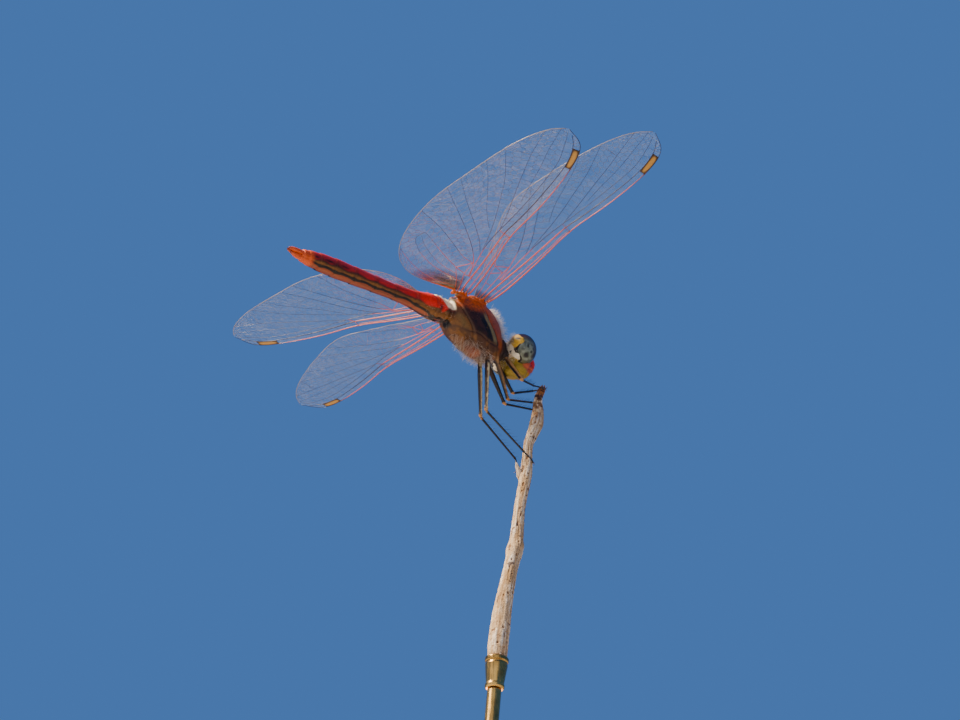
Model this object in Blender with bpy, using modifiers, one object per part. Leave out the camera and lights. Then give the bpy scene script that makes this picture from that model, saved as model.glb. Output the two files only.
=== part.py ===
"""A male red-veined darter dragonfly, life size, perched on a cut twig that a display stand holds.

Metres, +Z up. The head points to +X and the animal's left side to +Y. The origin is the centre of the
stand's underside. Every length below is written in millimetres and scaled by MM.
"""
import math

import bmesh
import bpy
from mathutils import Matrix, Vector

MM = 0.001                        # one millimetre, in metres
CUT = 0.08                        # thin cut that parts neighbouring pieces of the small body

# Stand
BASE_RADIUS = 28.0
BASE_HEIGHT = 5.0
BASE_EDGE = 0.7                   # rounding of the base's upper edge
ROD_RADIUS = 0.7
ROD_FOOT_GAP = 0.16               # keeps the slanting rod's cut end clear of the base
COLLAR_RADII = (1.2, 0.95)        # at the twig's cut end, and where the rod comes in
COLLAR_LENGTH = 3.2

# Body frame: the point midway between the fore wings' front hinges
HINGE = Vector((3.3, 0.4, 92.0))

# Wings
WING_THICKNESS = 0.5
FORE_SPAN = 29.6
HIND_SPAN = 28.1
HINGE_HALF_GAP = 2.03             # the fore wing's hinge, to the side of the middle
HIND_HINGE = Vector((-2.98, 2.03, -0.19))
FORE_TIP = (FORE_SPAN, -2.9)
HIND_TIP = (HIND_SPAN, -2.6)
# Edges of each wing from its root to its tip, as distance out and distance forward of the hinge line
FORE_LEAD = ((0, 0.15), (1.2, 0.4), (3.0, 0.5), (5.5, 0.45), (9.0, 0.25), (14.2, -0.15), (20.0, 0.3),
             (25.0, 0.25), (28.1, -0.6), FORE_TIP)
FORE_TRAIL = ((0.1, -1.85), (0.7, -2.15), (2.2, -2.85), (4.6, -4.05), (8.2, -5.85), (13.5, -7.85),
              (19.5, -7.3), (24.9, -6.0), (28.0, -4.6), FORE_TIP)
HIND_LEAD = ((0, 0.3), (0.6, 0.4), (1.6, 0.4), (3.5, 0.4), (7.0, 0.2), (11.2, -0.15), (17.5, 0.35),
             (23.3, 0.25), (26.6, -0.5), HIND_TIP)
HIND_TRAIL = ((0.35, -1.6), (0.35, -4.2), (1.0, -7.2), (3.0, -9.3), (6.5, -10.2), (12.0, -9.8),
              (18.0, -8.1), (23.5, -6.2), (26.8, -4.3), HIND_TIP)
WING_SAG = {"forewing": 0.8, "hindwing": 1.2}      # how far the root's rear hangs below the flat sheet
# Pose of each wing in degrees: sweep forward, rise towards the tip, and twist of the leading edge up
WING_POSES = {
    "forewing_left": (2.0, 0.8, -5.4),
    "forewing_right": (-1.6, 6.6, -4.6),
    "hindwing_left": (-19.7, 6.9, -6.8),
    "hindwing_right": (-15.3, 1.1, -6.2),
}
ROOT_GAP = 0.16                   # from the hinge line to where the wing's sheet starts
WING_ROOTS = (                    # the lumps of hinge plates on the thorax: name, middle, radii
    ("forewing", (-0.95, 1.72, 0.02), (1.35, 0.42, 0.42)),
    ("hindwing", (-3.15, 1.58, -0.2), (0.95, 0.44, 0.42)),
)
SPAN_STEPS = 18
CHORD_STEPS = 3

# Head, measured from the middle of the two eyes
HEAD = Vector((5.95, 0.0, -3.5))
EYE_OFFSET = 1.63
EYE_RADII = (1.66, 1.56, 1.86)
EYE_SINK = 0.62                   # how far behind its middle the eye is cut off flat
REAR_BLOCK = (4.0, 9.0, 9.0)      # the block that cuts it
ANTENNA_ROOT = (2.05, 0.66, 0.42)
ANTENNA_REACH = (0.62, 0.28, 0.95)
ANTENNA_RADIUS = 0.25

# The other forms of the head, from front to back: name, place from HEAD, radii, material, facets
HEAD_FORMS = (
    ("vertex", (1.40, 0, 0.62), (0.40, 0.46, 0.50), "face", 12, 8),
    ("frons", (1.72, 0, -0.62), (1.22, 1.18, 0.98), "face", 16, 10),
    ("clypeus", (1.45, 0, -1.42), (1.05, 1.40, 0.62), "face", 16, 10),
    ("labrum", (1.2, 0, -2.0), (0.95, 1.15, 0.50), "face", 16, 8),
    ("labium", (0.35, 0, -2.02), (1.22, 1.55, 0.72), "head", 16, 8),
    ("head", (-0.04, 0, -0.12), (1.42, 2.98, 1.92), "head", 22, 12),
)

# Thorax: sections as place along the body, top, bottom and half width
THORAX_SECTIONS = (
    (-3.75, -0.35, -3.85, 1.55), (-2.9, 0.42, -4.5, 2.05), (-1.3, 0.78, -5.25, 2.32),
    (0.3, 0.74, -5.85, 2.32), (1.5, 0.18, -6.0, 2.15), (2.45, -0.75, -5.8, 1.85),
    (3.1, -1.95, -5.3, 1.35),
)
THORAX_RINGS = 11
THORAX_MIDDLE = 0.52              # where a section is widest, as a share of its height
THORAX_POWER = 2.35               # its corners are fuller than an ellipse's
# Prothorax and neck: place along the body, middle, half width, and height above and below the middle
PROTHORAX_SECTIONS = (
    (3.22, -3.7, 1.15, 1.15, 1.45), (3.5, -3.65, 1.35, 1.35, 1.6), (3.85, -3.75, 1.25, 1.1, 1.5),
    (4.1, -3.8, 1.0, 0.85, 1.2),
)
NECK_SECTIONS = ((4.18, -3.5, 0.55, 0.5, 0.5), (4.42, -3.5, 0.55, 0.5, 0.5))

# Abdomen
ABDOMEN_FRONT = Vector((-4.0, 0.0, -2.1))
ABDOMEN_LENGTH = 20.45
ABDOMEN_DROOP = math.radians(6.8)
ABDOMEN_SWING = math.radians(-3.4)
SEGMENT_SHARES = (0.9, 1.7, 2.9, 3.1, 3.1, 3.1, 2.8, 2.1, 1.4, 0.9)
# Half height at shares of the length: full at the root, then waisted, then full again
ABDOMEN_GIRTH = ((0.0, 1.22), (0.06, 1.42), (0.14, 1.40), (0.22, 1.10), (0.31, 0.92), (0.45, 0.90),
                 (0.62, 0.96), (0.76, 1.02), (0.86, 0.97), (0.94, 0.82), (1.0, 0.62))
ABDOMEN_WIDTH = 0.98              # half width over half height
ABDOMEN_BELLY = 0.92              # height below the middle over height above it
ABDOMEN_POWER = 2.15
RING_FLARE = 0.03                 # each ring widens towards its rear edge by this much
RING_STEPS = 4
CERCUS_LENGTH = 1.45
LOWER_LENGTH = 1.05

# Legs: segment lengths of each pair, and the tubes' radii
FEMUR_LENGTH = {"fore": 3.88, "mid": 4.8, "hind": 6.42}
TIBIA_LENGTH = {"fore": 3.92, "mid": 4.81, "hind": 6.31}
TARSUS_LENGTH = {"fore": 1.73, "mid": 1.8, "hind": 2.13}
FEMUR_START = 0.42                # the femur begins this far beyond the middle of its root
FEMUR_RADIUS = (0.31, 0.26)
TIBIA_RADIUS = (0.26, 0.25)
TARSUS_RADIUS = (0.25, 0.25)
COXA_HEIGHT = {"fore": 0.62, "mid": 0.86, "hind": 0.86}
LEG_ROOTS = {
    "fore": Vector((4.15, 0.75, -5.0)),
    "mid": Vector((2.8, 0.75, -5.75)),
    "hind": Vector((1.5, 0.66, -6.1)),
}
# Pose of each leg: for femur, tibia and tarsus the downward pitch and the heading, in degrees,
# where heading 0 is straight ahead and a positive heading turns to the animal's left
LEG_POSES = {
    "hind_left": ((80.8, 43.3), (32.5, 1.3), (62.5, -131.1)),
    "hind_right": ((85.7, 70.2), (44.1, -20.5), (6.3, 14.2)),
    "mid_left": ((57.5, 2.6), (-14.7, 6.0), (26.3, -79.4)),
    "mid_right": ((43.4, 27.5), (-19.8, 9.4), (24.0, -93.5)),
    "fore_left": ((44.7, 7.3), (-27.0, 4.5), (9.0, -72.2)),
    "fore_right": ((59.8, -66.8), (-18.5, 25.4), (-7.2, -8.1)),
}

# Twig: stations from the broken tip down, as height, lean forward from the tip, radius
TWIG_TIP = Vector((10.35, -0.4, -5.95))
TWIG_STATIONS = (
    (0.0, 0.0, 0.30), (0.7, -0.25, 0.42), (2.2, -0.9, 0.50), (4.2, -1.05, 0.72), (5.6, -1.3, 0.80),
    (7.4, -2.05, 0.64), (9.0, -2.65, 0.56), (12.4, -3.05, 0.66), (17.0, -4.1, 0.64), (20.6, -4.6, 0.76),
    (22.2, -4.9, 0.84), (24.0, -5.45, 0.74), (28.0, -6.5, 0.88), (31.9, -7.2, 1.02), (34.2, -7.5, 0.98),
)
TWIG_SIDES = 12
TWIG_RINGS = 30
TWIG_WIDTH = 0.96                 # a little narrower across than from front to rear
# The broken stub of a side twig: its root from the tip, its direction, and reach and radius along it
STUB_ROOT = Vector((-2.95, 0.0, -12.9))
STUB_WAY = Vector((-0.50, 0.62, 0.46))
STUB_STATIONS = ((0.0, 0.6), (0.75, 0.55), (1.15, 0.45), (1.32, 0.34))


def body(point):
    """Turns a point of the body frame, in millimetres, into a world point in metres."""
    return (Vector(point) + HINGE) * MM


def clear_scene():
    """Removes every object, so that the script can be run again."""
    for old in list(bpy.data.objects):
        bpy.data.objects.remove(old, do_unlink=True)


def collection(name):
    """Makes a collection in the scene."""
    made = bpy.data.collections.new(name)
    bpy.context.scene.collection.children.link(made)
    return made


def material(name, colour, roughness, metallic=0.0):
    """Makes a Principled material."""
    made = bpy.data.materials.new(name)
    made.use_nodes = True
    shader = made.node_tree.nodes["Principled BSDF"]
    shader.inputs["Base Color"].default_value = (*colour, 1.0)
    shader.inputs["Roughness"].default_value = roughness
    shader.inputs["Metallic"].default_value = metallic
    return made


def add_object(name, data, group, finish=None):
    """Links new mesh or curve data to a collection and gives it its material."""
    made = bpy.data.objects.new(name, data)
    group.objects.link(made)
    if finish:
        data.materials.append(finish)
    return made


def mesh_of(name, bm, smooth_angle=50):
    """Turns a bmesh into mesh data, faces outward, round stretches shaded smooth."""
    bmesh.ops.recalc_face_normals(bm, faces=bm.faces)
    mesh = bpy.data.meshes.new(name)
    bm.to_mesh(mesh)
    bm.free()
    mesh.shade_smooth()
    mesh.set_sharp_from_angle(angle=math.radians(smooth_angle))
    return mesh


def loft(rings):
    """Joins closed rings of world points, all with the same count, into one capped body."""
    bm = bmesh.new()
    rows = [[bm.verts.new(point) for point in ring] for ring in rings]
    sides = len(rows[0])
    for near, far in zip(rows, rows[1:]):
        for i in range(sides):
            j = (i + 1) % sides
            bm.faces.new((near[i], near[j], far[j], far[i]))
    bm.faces.new(reversed(rows[0]))
    bm.faces.new(rows[-1])
    return bm


def egg(centre, side, up, half_width, above, below, sides, power=2.0):
    """A closed ring round centre: a superellipse with its own height above and below."""
    ring = []
    for i in range(sides):
        angle = math.tau * i / sides
        c, s = math.cos(angle), math.sin(angle)
        across = math.copysign(abs(c) ** (2 / power), c) * half_width
        upward = math.copysign(abs(s) ** (2 / power), s) * (above if s > 0 else below)
        ring.append(centre + side * across + up * upward)
    return ring


def section(x, middle, half_width, above, below, sides=20, power=2.0):
    """An upright ring across the body frame's middle plane."""
    ring = egg(Vector((x, 0, middle)), Vector((0, 1, 0)), Vector((0, 0, 1)), half_width, above, below,
               sides, power)
    return [body(point) for point in ring]


def ball(bm, centre, radii, segments=18, rings=12, tilt=0.0):
    """Adds an ellipsoid of the body frame, pitched nose down by tilt degrees."""
    place = Matrix.Translation(body(centre)) @ Matrix.Rotation(math.radians(tilt), 4, "Y")
    place = place @ Matrix.Diagonal((*[r * MM for r in radii], 1.0))
    bmesh.ops.create_uvsphere(bm, u_segments=segments, v_segments=rings, radius=1.0, matrix=place)


def ball_object(name, centre, radii, group, finish=None, **shape):
    """An ellipsoid object."""
    bm = bmesh.new()
    ball(bm, centre, radii, **shape)
    return add_object(name, mesh_of(name, bm), group, finish)


def guide(tool):
    """Marks an object as a cutter or a piece to join, which isn't part of the model by itself."""
    tool.hide_render = True
    tool.display_type = "WIRE"
    return tool


def boolean(target, tool, operation):
    """Cuts or joins a piece with a guide object."""
    step = target.modifiers.new(tool.name, "BOOLEAN")
    step.operation = operation
    step.object = tool
    step.solver = "EXACT"


def smooth_path(points, steps):
    """Reads a Catmull-Rom curve through the points, with steps pieces between each two."""
    padded = [2 * points[0] - points[1], *points, 2 * points[-1] - points[-2]]
    path = []
    for a, b, c, d in zip(padded, padded[1:], padded[2:], padded[3:]):
        for i in range(steps):
            t = i / steps
            path.append(0.5 * (2 * b + (c - a) * t + (2 * a - 5 * b + 4 * c - d) * t ** 2
                               + (3 * b - a - 3 * c + d) * t ** 3))
    path.append(points[-1].copy())
    return path


def sample(points, count):
    """Reads count points, evenly spread by parameter, from the smooth path through the points."""
    path = smooth_path(points, 12)
    last = len(path) - 1
    return [path[round(i * last / (count - 1))] for i in range(count)]


def tube(name, points, radii, group, finish, resolution=2):
    """A round tube with flat caps through world points, its radius given at each one."""
    curve = bpy.data.curves.new(name, "CURVE")
    curve.dimensions = "3D"
    curve.bevel_depth = 1.0 * MM
    curve.bevel_resolution = resolution
    curve.use_fill_caps = True
    spline = curve.splines.new("POLY")
    spline.points.add(len(points) - 1)
    for slot, point, radius in zip(spline.points, points, radii):
        slot.co = (*point, 1.0)
        slot.radius = radius
    spline.use_smooth = True
    return add_object(name, curve, group, finish)


def make_materials():
    """One material for each kind of surface."""
    return {
        "wing": material("wing_membrane", (0.72, 0.66, 0.55), 0.25),
        "eye": material("compound_eye", (0.20, 0.22, 0.18), 0.2),
        "face": material("red_face", (0.62, 0.06, 0.04), 0.4),
        "head": material("yellow_head", (0.55, 0.42, 0.10), 0.45),
        "thorax": material("brown_thorax", (0.20, 0.11, 0.04), 0.5),
        "abdomen": material("red_abdomen", (0.55, 0.06, 0.03), 0.4),
        "leg": material("black_leg", (0.02, 0.018, 0.015), 0.4),
        "twig": material("dry_twig", (0.42, 0.36, 0.27), 0.85),
        "base": material("stand_wood", (0.09, 0.045, 0.022), 0.5),
        "rod": material("stand_brass", (0.60, 0.45, 0.20), 0.3, 1.0),
    }


def make_head(parts, cutters, finish):
    """Eyes, face and head capsule: whole forms, each parted from the ones in front by a thin cut."""
    rear = {}
    for name, sink in (("eye", EYE_SINK), ("socket", EYE_SINK + CUT)):
        block = bmesh.new()
        place = Matrix.Translation(body(HEAD - Vector((sink + REAR_BLOCK[0] / 2, 0, 0))))
        size = Matrix.Diagonal((*[edge * MM for edge in REAR_BLOCK], 1.0))
        bmesh.ops.create_cube(block, size=1.0, matrix=place @ size)
        rear[name] = guide(add_object("cut_rear_" + name, mesh_of("cut_rear_" + name, block), cutters))
    tools = []
    grown_eye = [radius + CUT for radius in EYE_RADII]
    for side, sign in (("left", 1), ("right", -1)):
        place = HEAD + Vector((0, EYE_OFFSET * sign, 0))
        eye = ball_object("eye_" + side, place, EYE_RADII, parts, finish["eye"], segments=20, rings=12)
        tool = guide(ball_object("cut_socket_" + side, place, grown_eye, cutters, segments=20, rings=12))
        boolean(eye, rear["eye"], "DIFFERENCE")
        boolean(tool, rear["socket"], "DIFFERENCE")
        tools.append(tool)
    for name, centre, radii, slot, segments, rings in HEAD_FORMS:
        place = HEAD + Vector(centre)
        whole = ball_object(name, place, radii, parts, finish[slot], segments=segments, rings=rings)
        for tool in tools:
            boolean(whole, tool, "DIFFERENCE")
        grown = [radius + CUT for radius in radii]
        tools.append(guide(ball_object("cut_" + name, place, grown, cutters, segments=segments, rings=rings)))
    for side, sign in (("left", 1), ("right", -1)):
        turn = Vector((1, sign, 1))
        root = HEAD + turn * Vector(ANTENNA_ROOT)
        tip = root + turn * Vector(ANTENNA_REACH)
        tube("antenna_" + side, [body(root), body(tip)], [ANTENNA_RADIUS] * 2, parts, finish["leg"])


def make_thorax(parts, cutters, finish):
    """Neck, prothorax and wing-bearing thorax, with the leg roots joined on."""
    stations = sample([Vector(row[:3]) for row in THORAX_SECTIONS], THORAX_RINGS)
    widths = sample([Vector((row[3], 0, 0)) for row in THORAX_SECTIONS], THORAX_RINGS)
    rings = []
    for (x, top, bottom), width in zip(stations, widths):
        middle = bottom + (top - bottom) * THORAX_MIDDLE
        rings.append(section(x, middle, width.x, top - middle, middle - bottom, power=THORAX_POWER))
    whole = add_object("thorax", mesh_of("thorax", loft(rings)), parts, finish["thorax"])
    front = loft([section(*row) for row in PROTHORAX_SECTIONS])
    prothorax = add_object("prothorax", mesh_of("prothorax", front), parts, finish["thorax"])
    neck = loft([section(*row, sides=14) for row in NECK_SECTIONS])
    add_object("neck", mesh_of("neck", neck), parts, finish["thorax"])
    for pair, root in LEG_ROOTS.items():
        host = prothorax if pair == "fore" else whole
        for side in (1, -1):
            foot = root * 1.0
            foot.y *= side
            name = "join_coxa_%s_%s" % (pair, "left" if side > 0 else "right")
            height = COXA_HEIGHT[pair]
            coxa = ball_object(name, foot + Vector((-0.12, 0, height * 0.84)), (0.5, 0.44, height), cutters,
                               segments=10, rings=6, tilt=-8)
            boolean(host, guide(coxa), "UNION")
    for wing, centre, radii in WING_ROOTS:
        for side in (1, -1):
            name = "join_%s_root_%s" % (wing, "left" if side > 0 else "right")
            lump = ball_object(name, Vector((centre[0], centre[1] * side, centre[2])), radii, cutters,
                               segments=10, rings=6)
            boolean(whole, guide(lump), "UNION")


def abdomen_frame():
    """Directions of the abdomen: backward along it, to its side, and up."""
    back = Vector((-math.cos(ABDOMEN_DROOP) * math.cos(ABDOMEN_SWING),
                   math.cos(ABDOMEN_DROOP) * math.sin(ABDOMEN_SWING), -math.sin(ABDOMEN_DROOP)))
    side = back.cross(Vector((0, 0, 1))).normalized()
    return back, side, side.cross(back).normalized()


def girth(share):
    """Half height of the abdomen at a share of its length."""
    for (near, low), (far, high) in zip(ABDOMEN_GIRTH, ABDOMEN_GIRTH[1:]):
        if share <= far:
            t = (share - near) / (far - near)
            t = t * t * (3 - 2 * t)
            return low + (high - low) * t
    return ABDOMEN_GIRTH[-1][1]


def make_abdomen(parts, finish):
    """Ten rings with thin cuts between them, two cerci and the lower appendage."""
    back, side, up = abdomen_frame()
    total = sum(SEGMENT_SHARES)
    pad = CUT / 2 / ABDOMEN_LENGTH
    start = 0.0
    for number, share in enumerate(SEGMENT_SHARES, 1):
        end = start + share / total
        rings = []
        for step in range(RING_STEPS):
            t = step / (RING_STEPS - 1)
            along = start + pad + (end - start - 2 * pad) * t
            half = girth(along) * (1 + RING_FLARE * (t - 0.5))
            ring = egg(ABDOMEN_FRONT + back * along * ABDOMEN_LENGTH, side, up, half * ABDOMEN_WIDTH, half,
                       half * ABDOMEN_BELLY, 18, ABDOMEN_POWER)
            rings.append([body(point) for point in ring])
        name = "abdomen_s%d" % number
        add_object(name, mesh_of(name, loft(rings)), parts, finish["abdomen"])
        start = end
    rear = ABDOMEN_FRONT + back * (ABDOMEN_LENGTH + CUT)
    for name, sign in (("left", 1), ("right", -1)):
        root = rear - side * (0.30 * sign) + up * 0.22
        bend = root + back * 0.8 - side * (0.10 * sign) + up * 0.10
        tip = root + back * CERCUS_LENGTH - side * (0.02 * sign) + up * 0.22
        tube("cercus_" + name, [body(point) for point in smooth_path([root, bend, tip], 2)],
             [0.25, 0.29, 0.3, 0.28, 0.25], parts, finish["abdomen"])
    root = rear - up * 0.32
    tip = rear + back * LOWER_LENGTH - up * 0.16
    tube("lower_appendage", [body(root), body((root + tip) / 2), body(tip)], [0.28, 0.29, 0.25], parts,
         finish["abdomen"])


def wing_frame(sweep, dihedral, twist, mirror):
    """Directions of a wing: out along its span, forward across it, and up out of its sheet."""
    span = Vector((math.sin(sweep) * math.cos(dihedral), math.cos(sweep) * math.cos(dihedral),
                   math.sin(dihedral)))
    level = Vector((math.cos(sweep), -math.sin(sweep), 0))
    lift = level.cross(span)
    forward = level * math.cos(twist) + lift * math.sin(twist)
    normal = forward.cross(span)
    for direction in (span, forward, normal):
        direction.y *= mirror
    return span, forward, normal


def make_wing(name, hinge, lead, trail, sag, pose, mirror, parts, finish):
    """A warped sheet between the leading and the trailing edge, thickened to a plate."""
    span, forward, normal = wing_frame(*[math.radians(angle) for angle in pose], mirror)
    root = hinge * 1.0
    root.y *= mirror
    length = lead[-1][0]
    front = sample([Vector((*point, 0)) for point in lead], SPAN_STEPS + 1)
    rear = sample([Vector((*point, 0)) for point in trail], SPAN_STEPS + 1)
    bm = bmesh.new()
    rows = []
    for near, far in zip(front, rear):
        row = []
        for k in range(CHORD_STEPS + 1):
            flat = near.lerp(far, k / CHORD_STEPS)
            inner = max(0.0, 1 - flat.x / length)
            droop = -sag * max(0.0, -flat.y) / 10 * inner ** 3
            row.append(bm.verts.new(body(
                root + span * (flat.x + ROOT_GAP) + forward * flat.y + normal * droop)))
        rows.append(row)
    for near, far in zip(rows, rows[1:]):
        for k in range(CHORD_STEPS):
            bm.faces.new((near[k], near[k + 1], far[k + 1], far[k]))
    bmesh.ops.remove_doubles(bm, verts=bm.verts, dist=0.00001)
    made = add_object(name, mesh_of(name, bm), parts, finish["wing"])
    plate = made.modifiers.new("thickness", "SOLIDIFY")
    plate.thickness = WING_THICKNESS * MM
    plate.offset = 0.0
    return made


def make_wings(parts, finish):
    """The four wings, each in its own pose."""
    outlines = {
        "forewing": (Vector((0, HINGE_HALF_GAP, 0)), FORE_LEAD, FORE_TRAIL),
        "hindwing": (HIND_HINGE, HIND_LEAD, HIND_TRAIL),
    }
    for name, pose in WING_POSES.items():
        kind, side = name.split("_")
        hinge, lead, trail = outlines[kind]
        mirror = 1 if side == "left" else -1
        make_wing(name, hinge, lead, trail, WING_SAG[kind], pose, mirror, parts, finish)


def direction(pitch, heading):
    """A unit direction from a downward pitch and a heading, in degrees."""
    pitch, heading = math.radians(pitch), math.radians(heading)
    return Vector((math.cos(pitch) * math.cos(heading), math.cos(pitch) * math.sin(heading),
                   -math.sin(pitch)))


def make_legs(parts, finish):
    """Femur, tibia and tarsus of each leg, each ending short of the joint by as much as its bend needs."""
    for leg, pose in LEG_POSES.items():
        pair, side = leg.split("_")
        joint = LEG_ROOTS[pair] * 1.0
        joint.y *= 1 if side == "left" else -1
        ways = [direction(*angles) for angles in pose]
        lengths = (FEMUR_LENGTH[pair], TIBIA_LENGTH[pair], TARSUS_LENGTH[pair])
        short = [FEMUR_START]
        for near, far, radius in zip(ways, ways[1:], (FEMUR_RADIUS[1], TIBIA_RADIUS[1])):
            short.append(radius * math.tan(near.angle(far) / 2) + CUT / 2)
        short.append(0.0)
        for i, (name, radii) in enumerate((("femur", FEMUR_RADIUS), ("tibia", TIBIA_RADIUS),
                                           ("tarsus", TARSUS_RADIUS))):
            knee = joint + ways[i] * lengths[i]
            ends = [body(joint + ways[i] * short[i]), body(knee - ways[i] * short[i + 1])]
            tube("%s_%s" % (name, leg), ends, radii, parts, finish["leg"])
            joint = knee


def make_perch(parts, cutters, finish):
    """The cut twig with its knots, and the stub on which the left hind foot stands."""
    centres = [TWIG_TIP + Vector((lean, 0, -drop)) for drop, lean, _ in TWIG_STATIONS]
    radii = [Vector((radius, 0, 0)) for *_, radius in TWIG_STATIONS]
    path = sample(centres, TWIG_RINGS)
    sizes = sample(radii, TWIG_RINGS)
    rings = []
    for i, (centre, size) in enumerate(zip(path, sizes)):
        along = (path[min(i + 1, TWIG_RINGS - 1)] - path[max(i - 1, 0)]).normalized()
        side = Vector((0, 1, 0)).cross(along).normalized()
        ring = egg(centre, Vector((0, 1, 0)), side, size.x * TWIG_WIDTH, size.x, size.x, TWIG_SIDES)
        rings.append([body(point) for point in ring])
    twig = add_object("perch_twig", mesh_of("perch_twig", loft(rings)), parts, finish["twig"])
    fork = TWIG_TIP + STUB_ROOT
    out = STUB_WAY.normalized()
    side = out.cross(Vector((0, 0, 1))).normalized()
    rings = []
    for reach, radius in STUB_STATIONS:
        ring = egg(fork + out * reach, side, side.cross(out), radius, radius, radius, TWIG_SIDES)
        rings.append([body(point) for point in ring])
    stub = guide(add_object("join_stub", mesh_of("join_stub", loft(rings)), cutters))
    boolean(twig, stub, "UNION")
    return path[-1], (path[-1] - path[-2]).normalized()


def make_stand(twig_end, down, parts, finish):
    """A turned disc, a rod in line with the twig and a collar that holds the twig's cut end."""
    bpy.ops.mesh.primitive_cylinder_add(vertices=48, radius=BASE_RADIUS * MM, depth=BASE_HEIGHT * MM,
                                        location=(0, 0, BASE_HEIGHT * MM / 2))
    base = bpy.context.object
    base.name = base.data.name = "stand_base"
    for holder in list(base.users_collection):
        holder.objects.unlink(base)
    parts.objects.link(base)
    base.data.materials.append(finish["base"])
    edge = base.modifiers.new("edge", "BEVEL")
    edge.width = BASE_EDGE * MM
    edge.segments = 2
    edge.limit_method = "ANGLE"
    base.data.shade_smooth()
    base.data.set_sharp_from_angle(angle=math.radians(40))

    top = twig_end + HINGE + down * CUT
    reach = (top.z - BASE_HEIGHT - CUT) / -down.z
    foot = top + down * (reach - ROD_FOOT_GAP)
    collar_end = top + down * COLLAR_LENGTH
    tube("stand_collar", [top * MM, collar_end * MM], COLLAR_RADII, parts, finish["rod"], resolution=6)
    tube("stand_rod", [(collar_end + down * CUT) * MM, foot * MM], [ROD_RADIUS] * 2, parts,
         finish["rod"], resolution=4)


def main():
    """Builds the whole model."""
    clear_scene()
    parts = collection("dragonfly")
    cutters = collection("cutters")
    finish = make_materials()
    make_head(parts, cutters, finish)
    make_thorax(parts, cutters, finish)
    make_abdomen(parts, finish)
    make_wings(parts, finish)
    make_legs(parts, finish)
    twig_end, down = make_perch(parts, cutters, finish)
    make_stand(twig_end, down, parts, finish)


main()
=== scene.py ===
"""Looks of a red-veined darter dragonfly, life size, perched on a cut twig on a display stand.

Lengths are millimetres in the body frame, whose origin lies midway between the fore wings' front
hinges: the head is towards +X, the left side towards +Y and the back towards +Z. make_piece() takes
them to metres in the model's own frame.
"""
import math

import bpy
import numpy as np
from mathutils import Matrix, Vector


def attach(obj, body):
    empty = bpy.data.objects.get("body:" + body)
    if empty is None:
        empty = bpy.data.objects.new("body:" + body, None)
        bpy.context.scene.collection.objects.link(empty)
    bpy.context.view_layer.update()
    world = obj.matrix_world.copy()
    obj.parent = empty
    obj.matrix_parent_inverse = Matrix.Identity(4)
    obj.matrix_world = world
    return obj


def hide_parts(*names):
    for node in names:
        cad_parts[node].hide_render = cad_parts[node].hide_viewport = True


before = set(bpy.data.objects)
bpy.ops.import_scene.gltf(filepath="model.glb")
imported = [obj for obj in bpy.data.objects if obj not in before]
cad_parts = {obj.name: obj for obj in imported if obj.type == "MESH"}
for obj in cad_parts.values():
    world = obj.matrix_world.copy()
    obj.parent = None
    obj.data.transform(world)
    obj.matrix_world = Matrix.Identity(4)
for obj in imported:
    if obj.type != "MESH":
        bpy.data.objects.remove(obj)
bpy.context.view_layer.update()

bl_info = {
    "name": "Perched darter dragonfly",
    "version": (1, 0, 0),
    "blender": (4, 5, 0),
    "location": "View3D > Sidebar > Darter",
    "description": "Builds the skin, eyes, wings, legs, hairs, twig and stand of a dragonfly model",
    "category": "Add Mesh",
}

MM = 0.001
HINGE = np.array([3.3, 0.4, 92])          # the body frame's origin, in millimetres from the base
UP = np.array([0, 0, 1])
# What a left side's points are multiplied by to lie on each side
SIDES = {"left": np.array([1, 1, 1]), "right": np.array([1, -1, 1])}


# ---- Numbers and arrays ----

def srgb(code):
    """Linear red, green, blue and alpha of an sRGB hex colour such as #7A1B12."""
    value = np.array([int(code[i:i + 2], 16) / 255 for i in (1, 3, 5)])
    linear = np.where(value <= 0.04045, value / 12.92, ((value + 0.055) / 1.055) ** 2.4)
    return (*linear.tolist(), 1)


def unit(vectors):
    """Vectors scaled to length one."""
    vectors = np.asarray(vectors, float)
    return vectors / np.maximum(np.linalg.norm(vectors, axis=-1, keepdims=True), 1e-12)


def ramp(low, high, x):
    """0 below low, 1 above high, with an S-shaped ramp between, also where high is below low."""
    t = np.clip((np.asarray(x, float) - low) / (high - low), 0, 1)
    return t * t * (3 - 2 * t)


def bump(x, middle, width):
    """A bell of height 1 at the middle that falls to 1/e at width to either side."""
    return np.exp(-((np.asarray(x, float) - middle) / width) ** 2)


def reach_of(path):
    """How far along a path each of its points lies."""
    return np.concatenate(([0], np.cumsum(np.linalg.norm(np.diff(path, axis=0), axis=1))))


def curve(points, count):
    """Catmull-Rom curve through the points, read at count places evenly spread along its length."""
    p = np.asarray(points, float)
    padded = np.vstack((2 * p[0] - p[1], p, 2 * p[-1] - p[-2]))
    spot = np.linspace(0, len(p) - 1, 24 * len(p))
    i = np.minimum(spot.astype(int), len(p) - 2)
    t = (spot - i)[:, None]
    a, b, c, d = (padded[i + k] for k in range(4))
    path = 0.5 * (2 * b + (c - a) * t + (2 * a - 5 * b + 4 * c - d) * t ** 2
                  + (3 * b - a - 3 * c + d) * t ** 3)
    reach = reach_of(path)
    wanted = np.linspace(0, reach[-1], count)
    return np.stack([np.interp(wanted, reach, path[:, k]) for k in range(p.shape[1])], axis=1)


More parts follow.
